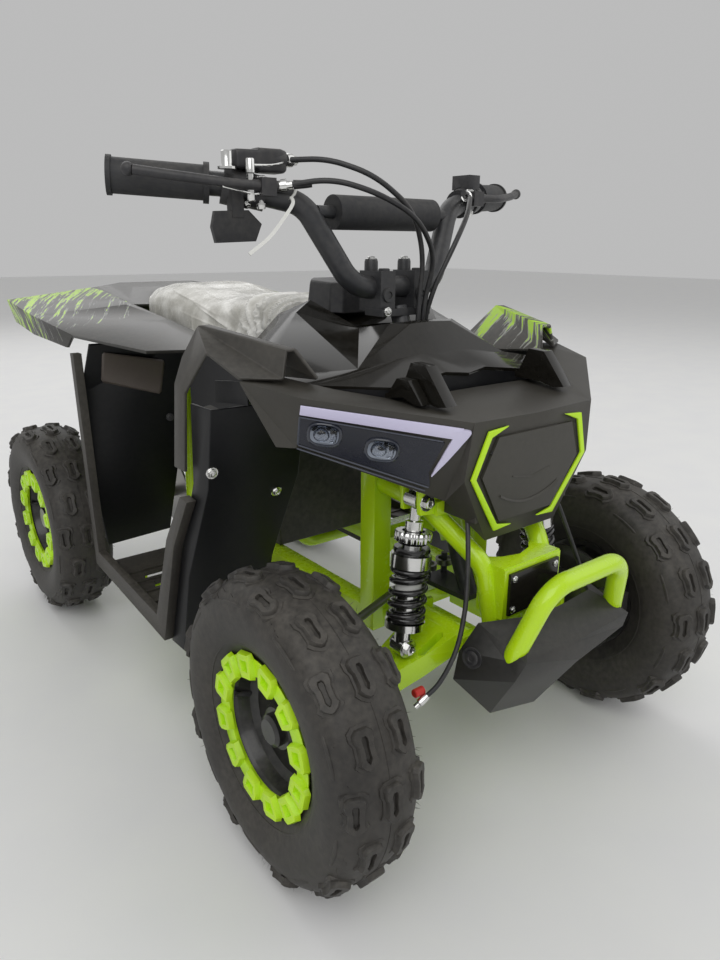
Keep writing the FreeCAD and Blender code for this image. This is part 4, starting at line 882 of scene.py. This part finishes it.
def coil(low, top, start, end, radius, turns, count=300):
    """A helix about the line from low to top, between two distances along
    it, whose first and last turn lie almost flat on their seats."""
    low, ahead = axis_of(low, top)
    t = np.linspace(0, 1, count)
    flat = 0.8 / turns
    rise = np.clip((t - flat) / (1 - 2 * flat), 0, 1) * 0.96 + 0.04 * t
    ring = spokes(2 * math.pi * turns * t, *across_axis(ahead))
    return low + ahead * (start + (end - start) * rise)[:, None] + radius * ring


def knurled(low, top, start, end, radius, count):
    """A collar whose radius goes in and out around it like gear teeth."""
    low, ahead = axis_of(low, top)
    a = circle(count * 6)
    ring = spokes(a, *across_axis(ahead))
    tooth = np.clip(np.sin(a * count) * 3, -1, 1) * 0.5 - 0.5
    rings = []
    for along, inset in ((start, 8.0), (start, 1.0), (start + 1, 0.0), (end - 1, 0.0), (end, 1.0),
                         (end, 8.0)):
        r = radius - inset + tooth * (1.4 if inset < 2 else 0)
        rings.append(low + ahead * along + r[:, None] * ring)
    return np.array(rings), grid_faces(len(rings), count * 6, around=True)


def build_springs():
    """Each front spring is a helix of round wire on the CAD's own seats,
    with a knurled collar above it and a plain band on the damper inside."""
    coils, collars, bands = [], [], []
    for s in (-1, 1):
        low, top = np.array(SHOCK_LOW) * (s, 1, 1), np.array(SHOCK_TOP) * (s, 1, 1)
        coils.append(carried(coil(low, top, 34.0, 87.0, 18.2, 5.6), round_section(3.5)))
        coils += [lathe(low, top, profile) for profile in COIL_SEATS]
        collars.append(knurled(low, top, 119.0, 130.0, 20.5, 20))
        collars += [lathe(low, top, profile) for profile in DAMPER_COLLARS]
        bands.append(lathe(low, top, DAMPER_BAND, 48))
    piece = show_parts("front_coils", coils, spring_paint, "chassis", 50)
    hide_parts("front_springs")
    show_parts("damper_collars", collars, chrome, "chassis")
    show_parts("damper_bands", bands, label_white, "chassis")


build_springs()


# Lamps: the face's rear top corner, its front top corner and a low corner;
# the projectors' centres as (along, down); the rings of their parts as
# (half length, half height, out); the frame lines' ends and half width
LAMP_CORNERS = ((222.0, -352.0, 491.0), (92.0, -454.0, 468.0), (218.0, -337.0, 438.0))
LAMP_CENTRES = ((27, 34), (84, 42))
BEZEL = [(17.4, 13.4, 2.1), (17.0, 13.0, 4.2), (15.8, 11.9, 4.9), (14.4, 10.6, 4.4), (13.9, 10.1, 2.4)]
BOWL = [(14.0, 10.2, 4.0), (11.2, 8.0, 3.0), (7.4, 5.4, 2.6), (0.5, 0.4, 2.5)]
LENS = [(7.8 * math.cos(t), 7.0 * math.cos(t), 2.8 + 4.6 * math.sin(t)) for t in np.linspace(0, 1.55, 9)]
LENS_WINDOW = [(3.4, 7.2, 2.6), (3.4, 7.2, 4.7), (2.8, 6.6, 5.3), (0.1, 0.1, 5.4)]
FRAME_LINES = (((1, 19), (141, 23.5), 0.7), ((3, 49.5), (137, 77.5), 0.9), ((2, 53.5), (134, 82), 0.8),
               ((1.5, 19), (2.5, 49), 0.7))


def lamp_frame(s):
    """Corner, directions along and down the lamp's face, and its normal."""
    rear, front, low = (np.array(c) * (s, 1, 1) for c in LAMP_CORNERS)
    along = (front - rear) / np.linalg.norm(front - rear)
    normal = np.cross(along, low - rear)
    normal /= np.linalg.norm(normal)
    normal *= -1 if normal[1] > 0 else 1
    down = np.cross(normal, along)
    down *= -1 if down[2] > 0 else 1
    return rear, along, down, normal


def on_lamp(s, flat):
    """Points of (along, down, out) on the lamp's face, in space."""
    corner, along, down, normal = lamp_frame(s)
    flat = np.asarray(flat, float)
    return corner + flat[..., :1] * along + flat[..., 1:2] * down + flat[..., 2:] * normal


def oval_part(s, centre, rings, count=40, power=0.72):
    """Rings of (half length, half height, out) about a point of the lamp's
    face: a softened oval, cosine and sine each to a power below one."""
    a = circle(count)
    oval = np.stack([softened(np.cos(a), power), softened(np.sin(a), power)], -1)
    flat = [np.column_stack([np.array(centre) + oval * (r[0], r[1]), np.full(count, r[2])]) for r in rings]
    return on_lamp(s, flat), grid_faces(len(rings), count, around=True)


def build_lamps():
    """Each side has two projector lamps: a dark bezel, a bright bowl and a
    clear domed lens with a square side window; and the thin frame lines
    that run along the recess."""
    bezels, bowls, lenses, lines = [], [], [], []
    for s in (-1, 1):
        for along, down in LAMP_CENTRES:
            bezels.append(oval_part(s, (along, down), BEZEL))
            bowls.append(oval_part(s, (along, down), BOWL))
            lenses.append(oval_part(s, (along - 3, down + 1), LENS, 32, 1.0))
            lenses.append(oval_part(s, (along + 8, down), LENS_WINDOW, 24, 0.35))
        for start, end, wide in FRAME_LINES:
            path = on_lamp(s, np.column_stack([np.linspace(start, end, 3), np.full(3, 2.4)]))
            lines.append(carried(path, [(-wide, -0.6), (wide, -0.6), (wide, 0.7), (-wide, 0.7)]))
    for name, parts, finish, slot in (("lamp_bezels", bezels, bezel_plastic, "lamp_dark"),
                                      ("lamp_bowls", bowls, mirror_bowl, "bright_steel"),
                                      ("lamp_lenses", lenses, clear_lens, "lamp_dark"),
                                      ("lamp_lines", lines, bezel_line, "lamp_dark")):
        show_parts(name, parts, finish, "chassis", 45)


build_lamps()


# Rounded edges: each node's rounding in metres, its finish and its slot

BODY_OF = {name: body for body, names in frame["record"]["behaviour"]["bodies"].items() for name in names}
ROUNDED = {"fascia": (0.0016, nose_plastic, "matte_black"),
           "hood": (0.0014, gloss_plastic, "gloss_black"),
           "front_fenders": (0.0014, fin_plastic, "matte_black"),
           "rear_body": (0.0014, fender_plastic, "gloss_black"),
           "lower_guard": (0.0014, guard_plastic, "matte_black"),
           "foot_trays": (0.0012, tray_plastic, "matte_black"),
           "footwell_walls": (0.0012, liner_plastic, "matte_black"),
           "arch_liners": (0.0012, liner_plastic, "matte_black"),
           "grille_trim": (0.0009, lime_mould, "lime_plastic"),
           "led_strips": (0.0006, light_bar, "light_bar"),
           "bead_ring_fr": (0.0007, lime_mould, "lime_plastic"),
           "bead_ring_fl": (0.0007, lime_mould, "lime_plastic"),
           "rear_bead_rings": (0.0007, lime_mould, "lime_plastic"),
           "front_arms": (0.0010, lime_coat, "lime_paint"),
           "nose_frame": (0.0010, lime_coat, "lime_paint"),
           "main_frame": (0.0010, lime_coat, "lime_paint"),
           "swingarm": (0.0012, lime_coat, "lime_paint"),
           "switch_box": (0.0010, housing_plastic, "matte_black"),
           "throttle_housing": (0.0010, housing_plastic, "matte_black"),
           "engine_block": (0.0030, engine_paint, "cast_alloy")}


def rounded(node, width, finish):
    """A copy of a node whose sharp edges are rounded by width, in metres:
    its triangles are joined, flat neighbours made one face, and every edge
    that turns more than 24 degrees is bevelled in two steps."""
    work = bmesh.new()
    work.from_mesh(nodes[node].data)
    bmesh.ops.remove_doubles(work, verts=work.verts, dist=2e-6)
    bmesh.ops.dissolve_limit(work, angle_limit=math.radians(0.6), verts=work.verts, edges=work.edges)
    mesh = bpy.data.meshes.new("rounded_" + node)
    work.to_mesh(mesh)
    work.free()
    piece = placed("rounded_" + node, mesh)
    mesh.materials.clear()
    mesh.materials.append(finish.material)
    mesh.shade_smooth()
    bevel = piece.modifiers.new("edges", "BEVEL")
    bevel.width, bevel.segments, bevel.limit_method = width, 2, "ANGLE"
    bevel.angle_limit = math.radians(24)
    bevel.harden_normals = True
    keep_modifiers(piece)
    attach(piece, BODY_OF[node])
    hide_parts(node)


for node_name, (edge, worn_finish, slot_name) in ROUNDED.items():
    rounded(node_name, edge, worn_finish)


# Places seen in the photograph

TREES = {}


def sight(pixel):
    """Start and direction of the line of sight through a pixel of the
    photograph."""
    spot, right, up, ahead = camera_frame()
    way = ahead * FOCAL + right * (pixel[0] - PHOTO_WIDE / 2) + up * (PHOTO_HIGH / 2 - pixel[1])
    return Vector(spot), Vector(way).normalized()


def seen_on(node, pixel):
    """Where the line of sight through a pixel meets a node, in metres, and
    the way that the surface faces there."""
    return met(node, *sight(pixel))


def met(node, start, way):
    """Where a ray meets a node's own mesh, and the way the face turns; or
    nothing where it misses."""
    if node not in TREES:
        mesh = nodes[node].data
        corners = [v.co for v in mesh.vertices]
        TREES[node] = BVHTree.FromPolygons(corners, [tuple(f.vertices) for f in mesh.polygons])
    spot, normal, _, _ = TREES[node].ray_cast(Vector(start), Vector(way))
    if spot is None:
        return None
    normal = np.array(normal)
    return np.array(spot), normal if normal @ np.array(way) < 0 else -normal


# Fastenings: the node each is seen on, its pixel, its radius and its height
BRIGHT_SEEN = (("arch_liners", (212, 473), 4.6, 4.0), ("arch_liners", (276, 491), 4.6, 4.0),
               ("front_arms", (402, 648), 6.5, 5.0), ("main_frame", (354, 562), 4.5, 4.5))
DARK_SEEN = (("footwell_walls", (76, 384), 4.0, 3.0), ("footwell_walls", (170, 417), 4.0, 3.0),
             ("lower_guard", (549, 606), 5.0, 3.5), ("lower_guard", (472, 658), 7.5, 2.5))
VALVE = [(-1, 3.4), (9, 3.0), (10, 2.4), (16, 2.4), (17, 0.1)]


def screw_part(spot, normal, radius, height, sides=6):
    """A bolt head on a washer, in millimetres about a spot in metres: a
    disc, then a prism of six sides (or a round head with more) whose top
    edge is cut back, with a dimple in its middle."""
    spot, normal = np.asarray(spot, float) * 1000, np.asarray(normal, float)
    normal = normal / np.linalg.norm(normal)
    washer = radius * 1.5
    disc = [(washer, -0.6), (washer, 1.0), (washer - 0.3, 1.3), (radius * 1.02, 1.3)]
    prism = [(radius, 1.2), (radius, height - 0.5), (radius - 0.7, height)]
    dimple = [(radius * 0.5, height), (radius * 0.42, height - 0.9), (0.02, height - 0.9)]
    a = circle(24)
    ring = spokes(a, *across_axis(normal, (0.31, 0.17, 0.93)))
    wedge = math.pi / sides
    flat = math.cos(wedge) / np.cos((a % (2 * wedge)) - wedge) if sides < 12 else 1.0
    rings = [spot + normal * out + (r * shape * np.ones(24))[:, None] * ring
             for rows, shape in ((disc, 1.0), (prism, flat), (dimple, 1.0)) for r, out in rows]
    return np.array(rings), grid_faces(len(rings), 24, around=True)


def seen_fastenings(rows, sides=6):
    """The rows' fastenings, each set on the surface that it is seen on and
    mirrored to the machine's other side."""
    parts = []
    for node, pixel, radius, height in rows:
        found = seen_on(node, pixel)
        if found:
            parts += [screw_part(*(v * (s, 1, 1) for v in found), radius, height, sides) for s in (1, -1)]
    return parts


def build_fastenings():
    """Bolts and screws where the photograph shows them; on each side also
    those of the nose plate, both ends of the damper, the arm's pivots
    and the foot tray."""
    bright, dark = seen_fastenings(BRIGHT_SEEN), seen_fastenings(DARK_SEEN, 16)
    for s in (-1, 1):
        for z in (0.258, 0.294):
            bright.append(screw_part((s * 0.034, -0.469, z), (0, -1, 0), 2.6, 2.4, 16))
        for (x, y, z), ahead in ((SHOCK_TOP, 15.5), (SHOCK_LOW, 9)):
            for move, way in ((-ahead, -1), (9, 1)):
                bright.append(screw_part((s * x / 1000, (y + move) / 1000, z / 1000), (0, way, 0), 6.5, 6.5))
        for y, way in ((-0.3453, 1), (-0.4297, -1)):
            bright.append(screw_part((s * 0.058, y, 0.212), (0, way, 0), 6.0, 5.0))
        for x, y in ((0.126, -0.062), (0.126, 0.128), (0.250, -0.062), (0.250, 0.128)):
            found = met("foot_trays", (s * x, y, 0.3), (0, 0, -1))
            if found:
                dark.append(screw_part(*found, 3.6, 2.6, 16))
    show_parts("bright_bolts", bright, chrome, "chassis")
    show_parts("dark_screws", dark, housing_plastic, "chassis")


def build_wheel_nuts():
    """Four nuts and a valve on each wheel's disc, found by rays from the
    wheel's outer side."""
    outside, nuts_radius = 0.36, 0.042
    for body, _, rim, places in WHEELS:
        nuts, valves = [], []
        for s, along in places:
            y = along * HALF_BASE
            for a in np.radians((45, 135, 225, 315)):
                found = met(rim, (s * outside, y + nuts_radius * math.cos(a),
                                  HUB + nuts_radius * math.sin(a)), (-s, 0, 0))
                if found:
                    nuts.append(screw_part(found[0], (s, 0, 0), 5.6, 6.5))
            foot = np.array((s * outside, y + 0.062, HUB + 0.006))
            found = met(rim, foot, (-s, 0, 0))
            if found:
                start = np.array((found[0][0], foot[1], foot[2])) * 1000
                valves.append(pin(start, start + (s * 20, 0, 6), VALVE, 14))
        show_parts("wheel_nuts_" + body, nuts, raw_steel, body)
        show_parts("valves_" + body, valves, housing_plastic, body)


build_fastenings()
build_wheel_nuts()


# Inner walls of the hood, and a dark sheet in each front fender that is painted shade: the lines that they
# hang from, in millimetres
HOOD_EDGE = [(172, -307, 487.5), (138, -331, 486.5), (103, -351, 484.5), (66, -350, 488),
             (31, -349, 492.5), (0, -352, 493)]
STEM_WELL = [(60, -238, 530), (46, -204, 528.5), (0, -202, 529), (-46, -204, 528.5), (-60, -238, 530)]
HOOD_SIDE = [(170, -304, 485.5), (157, -182, 475.5), (149, -66, 453.5)]
FENDER_SHADE_SHEET = [(168, -150, 486), (168, -104, 490), (168, -60, 492), (170, -8, 476)]
FENDER_OUTER = [(230, -268, 494), (232, -240, 492), (234, -205, 488)]


def strip_down(line, depth, lean=(0.0, 0.0)):
    """A wall hung from a line of points: its lower edge is the line moved
    down by depth and by lean, with five rows between."""
    line = np.asarray(line, float)
    t = np.linspace(0, 1, 6)[:, None, None]
    low = line + np.array([lean[0], lean[1], -depth])
    points = line[None] * (1 - t) + low[None] * t
    return points, grid_faces(6, len(line))


def build_hood_walls_and_shade_sheets():
    """Dark inner walls under the hood: one behind its front edge, down to
    the nose, one round the opening for the steering stem, one under each
    side and two inside each front fender. The deeper of those two is a
    dark sheet that stands in for the shade inside the fender, painted
    shade."""
    front = HOOD_EDGE + flipped(HOOD_EDGE[-2::-1], -1)
    walls = [strip_down(front, 28, (0, -1.0)), strip_down(STEM_WELL, 46, (0, 2))]
    for s in (-1, 1):
        # the fender's deep sheet is painted shade: a dark sheet hung where the inside of the fender lies in
        # shade
        for line, depth, lean in ((HOOD_SIDE, 22, 16 * s), (FENDER_SHADE_SHEET, 64, 0), (FENDER_OUTER, 24, 0)):
            walls.append(strip_down(flipped(line, s), depth, (lean, 0)))
    points, faces = joined(walls)
    piece = show_mesh("hood_walls_and_shade_sheets", points / 1000, faces, liner_plastic, "chassis")
    thick = piece.modifiers.new("wall", "SOLIDIFY")
    thick.thickness, thick.offset = 0.0016, 0.0
    keep_modifiers(piece)
    soften(piece, 40)


build_hood_walls_and_shade_sheets()


# Controls and cables, in millimetres: profiles as (distance along, radius),
# the throttle's bare wires, the cable tie, the rings of the box over the
# throttle as (x, half depth, half height, middle's height), the dash box's
# outline and levels as (height, share), and the cable of the left front brake
PIVOT = [(0, 4.4), (3, 5.4), (6, 5.4), (6, 3.6), (28, 3.6), (28, 5.6), (33, 5.6), (34, 4.4)]
ADJUSTER = [(0, 5.6), (5, 5.6), (5, 6.8), (11, 6.8), (11, 4.6), (17, 4.4), (18, 0.1)]
BOOT = [(0, 4.9), (14, 4.2), (20, 3.6)]
THROTTLE_END = [(0, 6.4), (3, 7.2), (9, 7.2), (10, 5.4), (17, 5.0), (18, 0.1)]
THROTTLE_STUD = [(0, 9.6), (2.4, 9.6), (2.6, 6.4), (4, 5.8), (17, 5.8), (18, 4.8)]
BARREL = [(0, 3.6), (1, 4.4), (11, 4.4), (12, 3.2), (27, 3.2), (28, 4.8), (41, 4.8), (42, 4.0)]
CLAMP_CAP = [(0, 8.2), (12, 8.0), (15, 7.0)]
CLAMP_STUD = [(0, 6.6), (4, 6.6), (5, 5.6)]
CLAMP_EYE = [(0, 8.4), (2.6, 8.0), (2.6, 4.4), (1.0, 4.2)]
DASH_DIAL = [(0, 15), (3, 14.4), (3.6, 13), (3.0, 12.4)]
DASH_KEY = [(0, 7), (3, 7), (4, 6), (4, 3), (2.6, 2.4)]
LINE_END = [(-3, 3.6), (2, 4.4), (8, 4.4), (9, 3.0), (14, 3.0)]
MARKER = [(-6, 4.6), (5, 4.6), (6, 3.6)]
LEVER_WIRE = [(158, -196, 686), (151, -199, 686.6), (143, -203, 687.6)]
BARE_WIRES = ([(-175, -203.5, 706.5), (-150, -199.5, 708.5), (-124, -186, 714.5)],
              [(-176, -203.5, 678), (-160, -203.5, 680.5), (-145, -201, 686)],
              [(-213, -203, 684), (-196, -204.5, 681), (-181, -203, 678.5)])
TIE_TAIL = [(-131, -205, 677), (-132, -209, 670), (-144, -211, 656), (-164, -211, 635), (-188, -209, 618)]
TIE_CENTRE, TIE_AXIS, TIE_RADIUS = (-129.0, -191.0, 681.0), (-0.80, -0.17, 0.57), 13.6
THROTTLE_BOX = ((-187, 8.4, 8.0, 713.5), (-186.4, 9.6, 9.0, 713.5), (-184.5, 10.4, 9.6, 713.6),
                (-160, 10.8, 10.0, 714.0), (-158.6, 11.8, 12.4, 713.6), (-132, 11.8, 12.6, 713.8),
                (-128, 11.2, 11.8, 713.6), (-125.4, 9.6, 9.8, 713.2), (-124.6, 8.0, 8.0, 713.0))
DASH_OUTLINE = [(-46, -158), (-34, -170), (34, -170), (46, -158), (46, -112), (36, -98), (-36, -98),
                (-46, -112)]
DASH_LEVELS = ((548, 1.06), (560, 1.02), (578, 0.98), (583, 0.95), (585, 0.88))
BRAKE_LINE = [(66, -424, 372), (74, -436, 346), (84, -448, 310), (96, -458, 272), (112, -464, 236),
              (132, -463, 206), (150, -458, 190)]


def build_controls():
    """Bright barrels, pivots, adjusters and bare inner wires at both levers
    and at the throttle, dark boots on the cables and the pale cable tie."""
    bright, dark = [], []
    for s in (-1, 1):
        bright.append(pin((160 * s, -190, 664), (160 * s, -190, 700), PIVOT, 20))
        bright.append(pin((146 * s, -200, 687), (131 * s, -212, 689), ADJUSTER))
        bright.append(screw_part((0.172 * s, -0.1795, 0.6985), (0.1 * s, -0.7, 0.7), 3.4, 3.6))
        bright.append(screw_part((0.172 * s, -0.1805, 0.6690), (0.1 * s, -0.8, -0.6), 3.4, 3.6))
        bright.append(wire(flipped(LEVER_WIRE, s), 1.0, 4, 8))
        dark.append(pin((132 * s, -211, 689), (116 * s, -222, 690), BOOT, 18))
    bright.append(pin((-124, -183, 716), (-106, -178, 716.5), THROTTLE_END))
    bright.append(pin((-199, -189, 702), (-199, -189, 720), THROTTLE_STUD, 28))
    bright.append(pin((-178, -200, 671), (-178, -200, 713), BARREL))
    bright += [wire(path, 1.1, 8, 8) for path in BARE_WIRES]
    show_parts("lever_fittings", bright, chrome, "steering")
    show_parts("cable_boots", dark, cable_rubber, "steering")
    show_parts("cable_tie", cable_tie(), tie_white, "steering")


def cable_tie():
    """The tie's flat tail, which hangs free, and its flat ring round the
    bar."""
    tail = carried(smooth_line(TIE_TAIL, 10), [(-1.9, -0.7), (1.9, -0.7), (1.9, 0.7), (-1.9, 0.7)])
    _, way = axis_of((0, 0, 0), TIE_AXIS)
    ring = spokes(circle(36), *across_axis(way))
    rings = [np.array(TIE_CENTRE) + way * along + ring * (TIE_RADIUS + out)
             for along, out in ((-1.6, -0.6), (1.6, -0.6), (1.6, 0.6), (-1.6, 0.6))]
    return [tail, (np.array(rings), grid_faces(4, 36, around=True, along=True))]


def build_throttle_box():
    """The closed box over the throttle: softened oblongs along x, lower at
    its outer half, drawn in at both ends."""
    around = circle(40)
    section = np.stack([0 * around, softened(np.cos(around), 0.36), softened(np.sin(around), 0.36)], -1)
    rings = [np.array([x, -178.6, middle]) + section * (0, deep, high)
             for x, deep, high, middle in THROTTLE_BOX]
    show_parts("throttle_box", [closed_form(np.array(rings))], housing_plastic, "steering", 50)


def build_clamps():
    """Rounded caps and bolts on the handlebar clamps, and a boss with a
    round hole in front of each."""
    dark, bright = [], []
    for s in (-1, 1):
        dark.append(pin((26 * s, -214, 597), (26 * s, -214, 616), CLAMP_CAP, 28))
        dark.append(pin((26 * s, -238, 597), (26 * s, -238, 606), CLAMP_STUD, 28))
        dark.append(pin((26 * s, -246.2, 572), (26 * s, -250, 572), CLAMP_EYE, 28))
        bright.append(screw_part((0.026 * s, -0.214, 0.6115), (0, 0, 1), 4.6, 3.6, 16))
        bright.append(screw_part((0.030 * s, -0.2505, 0.5535), (0, -1, 0), 3.6, 3.4))
    show_parts("clamp_caps", dark, bar_paint, "steering")
    show_parts("clamp_bolts", bright, chrome, "steering")


def build_dash():
    """The dark box between the hood and the seat: a low prism whose
    outline, narrower at the top, is lofted through five levels that rise
    towards the rear, with a dial and a key switch on it."""
    outline = np.array(DASH_OUTLINE, float)
    centre = outline.mean(0)
    rings = []
    for z, share in DASH_LEVELS:
        ring = centre + (outline - centre) * share
        rings.append(np.column_stack([ring, z + (ring[:, 1] + 134) * 0.06]))
    piece = show_parts("dash_box", [closed_form(np.array(rings))], housing_plastic, "chassis",
                       30)
    edge = piece.modifiers.new("edges", "BEVEL")
    edge.width, edge.segments, edge.limit_method = 0.0018, 2, "ANGLE"
    keep_modifiers(piece)
    switches = [pin((0, -134, 584), (0, -135, 592), DASH_DIAL, 40),
                pin((24, -134, 584), (24, -134, 592), DASH_KEY, 28)]
    show_parts("dash_switches", switches, bar_paint, "chassis")


def build_brake_lines():
    """A thin cable from the nose of the frame down to each front brake,
    fixed in place; the fitting and the red marker at its lower end turn
    with the knuckle."""
    for s, side in ((-1, "r"), (1, "l")):
        body = "knuckle_body_" + side
        part = wire(flipped(BRAKE_LINE, s), 2.6, 10, 12)
        piece = show_parts("brake_line_" + side, [part], cable_rubber, None)
        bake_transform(piece)
        end = pin((148 * s, -458.5, 191), (158 * s, -456, 184), LINE_END, 18)
        show_parts("brake_line_end_" + side, [end], chrome, body)
        red = pin((152 * s, -452, 196), (160 * s, -452, 196), MARKER, 14)
        show_parts("brake_marker_" + side, [red], red_plastic, body)


build_controls()
build_throttle_box()
build_clamps()
build_dash()
build_brake_lines()


# Plate and light legs: the plate's corners and pairs of places on both edges
# of the leg, as pixels of the photograph
PLATE_PIXELS = ((102, 352), (165, 360), (161, 394), (101, 382))
LEG_PIXELS = (((455, 431), (464, 429)), ((453, 437.5), (471.5, 432)), ((446.5, 448), (462, 444)),
              ((438.5, 462), (447.5, 460)), ((431, 475), (431.6, 475.8)))


def build_plate():
    """A blank dark plate on the cover over the foot space: a grid between
    four places seen on that cover, a little above it, with its long edges a
    little shorter than its middle."""
    found = [seen_on("footwell_walls", p) for p in PLATE_PIXELS]
    if None in found:
        return
    normal = np.mean([f[1] for f in found], axis=0)
    u, v = np.meshgrid(np.linspace(0, 1, 25), np.linspace(0, 1, 13))
    u = np.where(np.minimum(v, 1 - v) < 0.08, np.clip(u, 0.03, 0.97), u)
    shares = ((1 - u) * (1 - v), u * (1 - v), u * v, (1 - u) * v)
    points = sum(f[0] * share[..., None] for f, share in zip(found, shares)) + normal * 0.0006
    piece = show_mesh("blank_plate", points.reshape(-1, 3), grid_faces(13, 25), plate_face, "chassis")
    thick = piece.modifiers.new("plate", "SOLIDIFY")
    thick.thickness, thick.offset = 0.0005, 1.0
    keep_modifiers(piece)
    outward(piece)


def build_light_legs():
    """The pointed leg at the front end of each light strip: a sheet between
    two edges seen on the nose, thickened and set a little above it."""
    edges = [[seen_on("fascia", p) for p in pair] for pair in LEG_PIXELS]
    normal = edges[1][0][1]
    rails = np.array([[found[0] for found in pair] for pair in edges]) + normal * 0.0025
    inner, outer = (smooth_line(rails[:, k] * 1000, 8) for k in (0, 1))
    share = np.linspace(0, 1, 7)[None, :, None]
    sheet = inner[:, None] * (1 - share) + outer[:, None] * share
    parts = []
    for s in (1, -1):
        top, low = sheet * (s, 1, 1), (sheet - normal * 2.6) * (s, 1, 1)
        path = np.concatenate([top, low[:, ::-1]], 1)
        parts.append(closed_form(path))
    show_parts("light_legs", parts, light_bar, "chassis", 30)


build_plate()
build_light_legs()


# Nose details: the grille's corner and lean, one of its two brows as
# (across, up), and the brow's levels as (share kept, height)
GRILLE_CORNER, GRILLE_LEAN = (0.0, -454.6, 467.0), math.radians(4.3)
BROW = [(22, -26), (56, -24), (66, -34), (58, -44), (48, -34), (30, -33)]
BROW_LEVELS = [(1.06, 0.4), (1.02, 1.5), (0.94, 1.5), (0.90, 0.7), (0.3, 0.6)]


def on_grille(flat):
    """Points of (across, up, out) on the grille's leaning face, in space."""
    flat = np.asarray(flat, float)
    c, s = math.cos(GRILLE_LEAN), math.sin(GRILLE_LEAN)
    out, up = flat[..., 2] + 1.2, flat[..., 1]
    return np.stack([GRILLE_CORNER[0] + flat[..., 0], GRILLE_CORNER[1] - out * c - up * s,
                     GRILLE_CORNER[2] + up * c - out * s], -1)


def raised_panel(outline, levels):
    """An outline of (across, up) with its rings drawn in towards its middle:
    each level gives the share kept and how far it stands out."""
    outline = np.asarray(outline, float)
    centre = outline.mean(0)
    rings = [np.concatenate([centre + (outline - centre) * k, np.full((len(outline), 1), out)], 1)
             for k, out in levels]
    last = np.concatenate([centre, [levels[-1][1]]])[None]
    points = np.vstack(rings + [last])
    count = len(outline)
    faces = grid_faces(len(levels), count, around=True)
    base = (len(levels) - 1) * count
    faces += [(base + k, base + (k + 1) % count, len(points) - 1) for k in range(count)]
    return points, faces


def build_nose_marks():
    """On the grille two brow recesses, which are shallow raised panels
    with a sunk middle in the darkest plastic as painted shade of the
    recesses, and two curved lips."""
    brows = []
    for s in (-1, 1):
        points, faces = raised_panel([(x * s, y) for x, y in BROW], BROW_LEVELS)
        brows.append((on_grille(points), faces))
    t = np.linspace(-1, 1, 25)
    low_lip = on_grille(np.stack([46 * t, -96 + 13 * t**2, 0 * t + 1.4], -1))
    t = np.linspace(-1, 1, 17)
    high_lip = on_grille(np.stack([30 * t, -70 + 6 * np.abs(t), 0 * t + 1.4], -1))
    lips = [carried(low_lip, [(-2.2, -1.0), (2.2, -1.0), (1.2, 1.4), (-1.2, 1.4)]),
            carried(high_lip, [(-1.4, -1.0), (1.4, -1.0), (0.8, 1.0), (-0.8, 1.0)])]
    # the brows' dark plastic is painted shade of a recess
    show_parts("grille_brows", brows, liner_plastic, "chassis")
    show_parts("grille_lips", lips, nose_plastic, "chassis")


build_nose_marks()


# Room: the soft lamps' names, places in metres, watts and widths, the point
# that they face, and how bright the world behind everything is
LAMPS = (("key_lamp", (-2.4, -2.8, 3.6), 92, 4.2), ("fill_lamp", (3.0, -1.8, 2.8), 36, 4.2),
         ("back_lamp", (0.6, 3.4, 3.4), 52, 4.0))
LIT_POINT = (0, 0, 0.35)
WORLD_STRENGTH = 0.50


def build_room():
    """Pale floor, soft lamps and a light world behind everything."""
    x, y = np.meshgrid(np.linspace(-14, 14, 13), np.linspace(-14, 14, 13))
    points = np.stack([x.ravel(), y.ravel(), np.full(x.size, -0.0005)], 1)
    mesh = bpy.data.meshes.new("floor")
    mesh.from_pydata(points.tolist(), [], grid_faces(13, 13))
    floor = placed("floor", mesh)
    pale = surface("pale_floor", (0.80, 0.80, 0.80), (0.82, 0.82, 0.81), 0.7, 0.0002, 60, 8, 0.0)
    mesh.materials.append(pale.material)
    for name, spot, power, width in LAMPS:
        lamp = bpy.data.lights.new(name, "AREA")
        lamp.energy = power
        lamp.size = width
        holder = placed(name, lamp)
        holder.location = spot
        holder.rotation_euler = (Vector(LIT_POINT) - Vector(spot)).to_track_quat("-Z", "Y").to_euler()
    world = bpy.data.worlds.new("studio")
    world.use_nodes = True
    bpy.context.scene.world = world
    back = world.node_tree.nodes["Background"]
    back.inputs["Strength"].default_value = WORLD_STRENGTH
    back.inputs["Color"].default_value = (1, 1, 1, 1)
    bpy.context.scene.view_settings.view_transform = "Standard"


build_room()
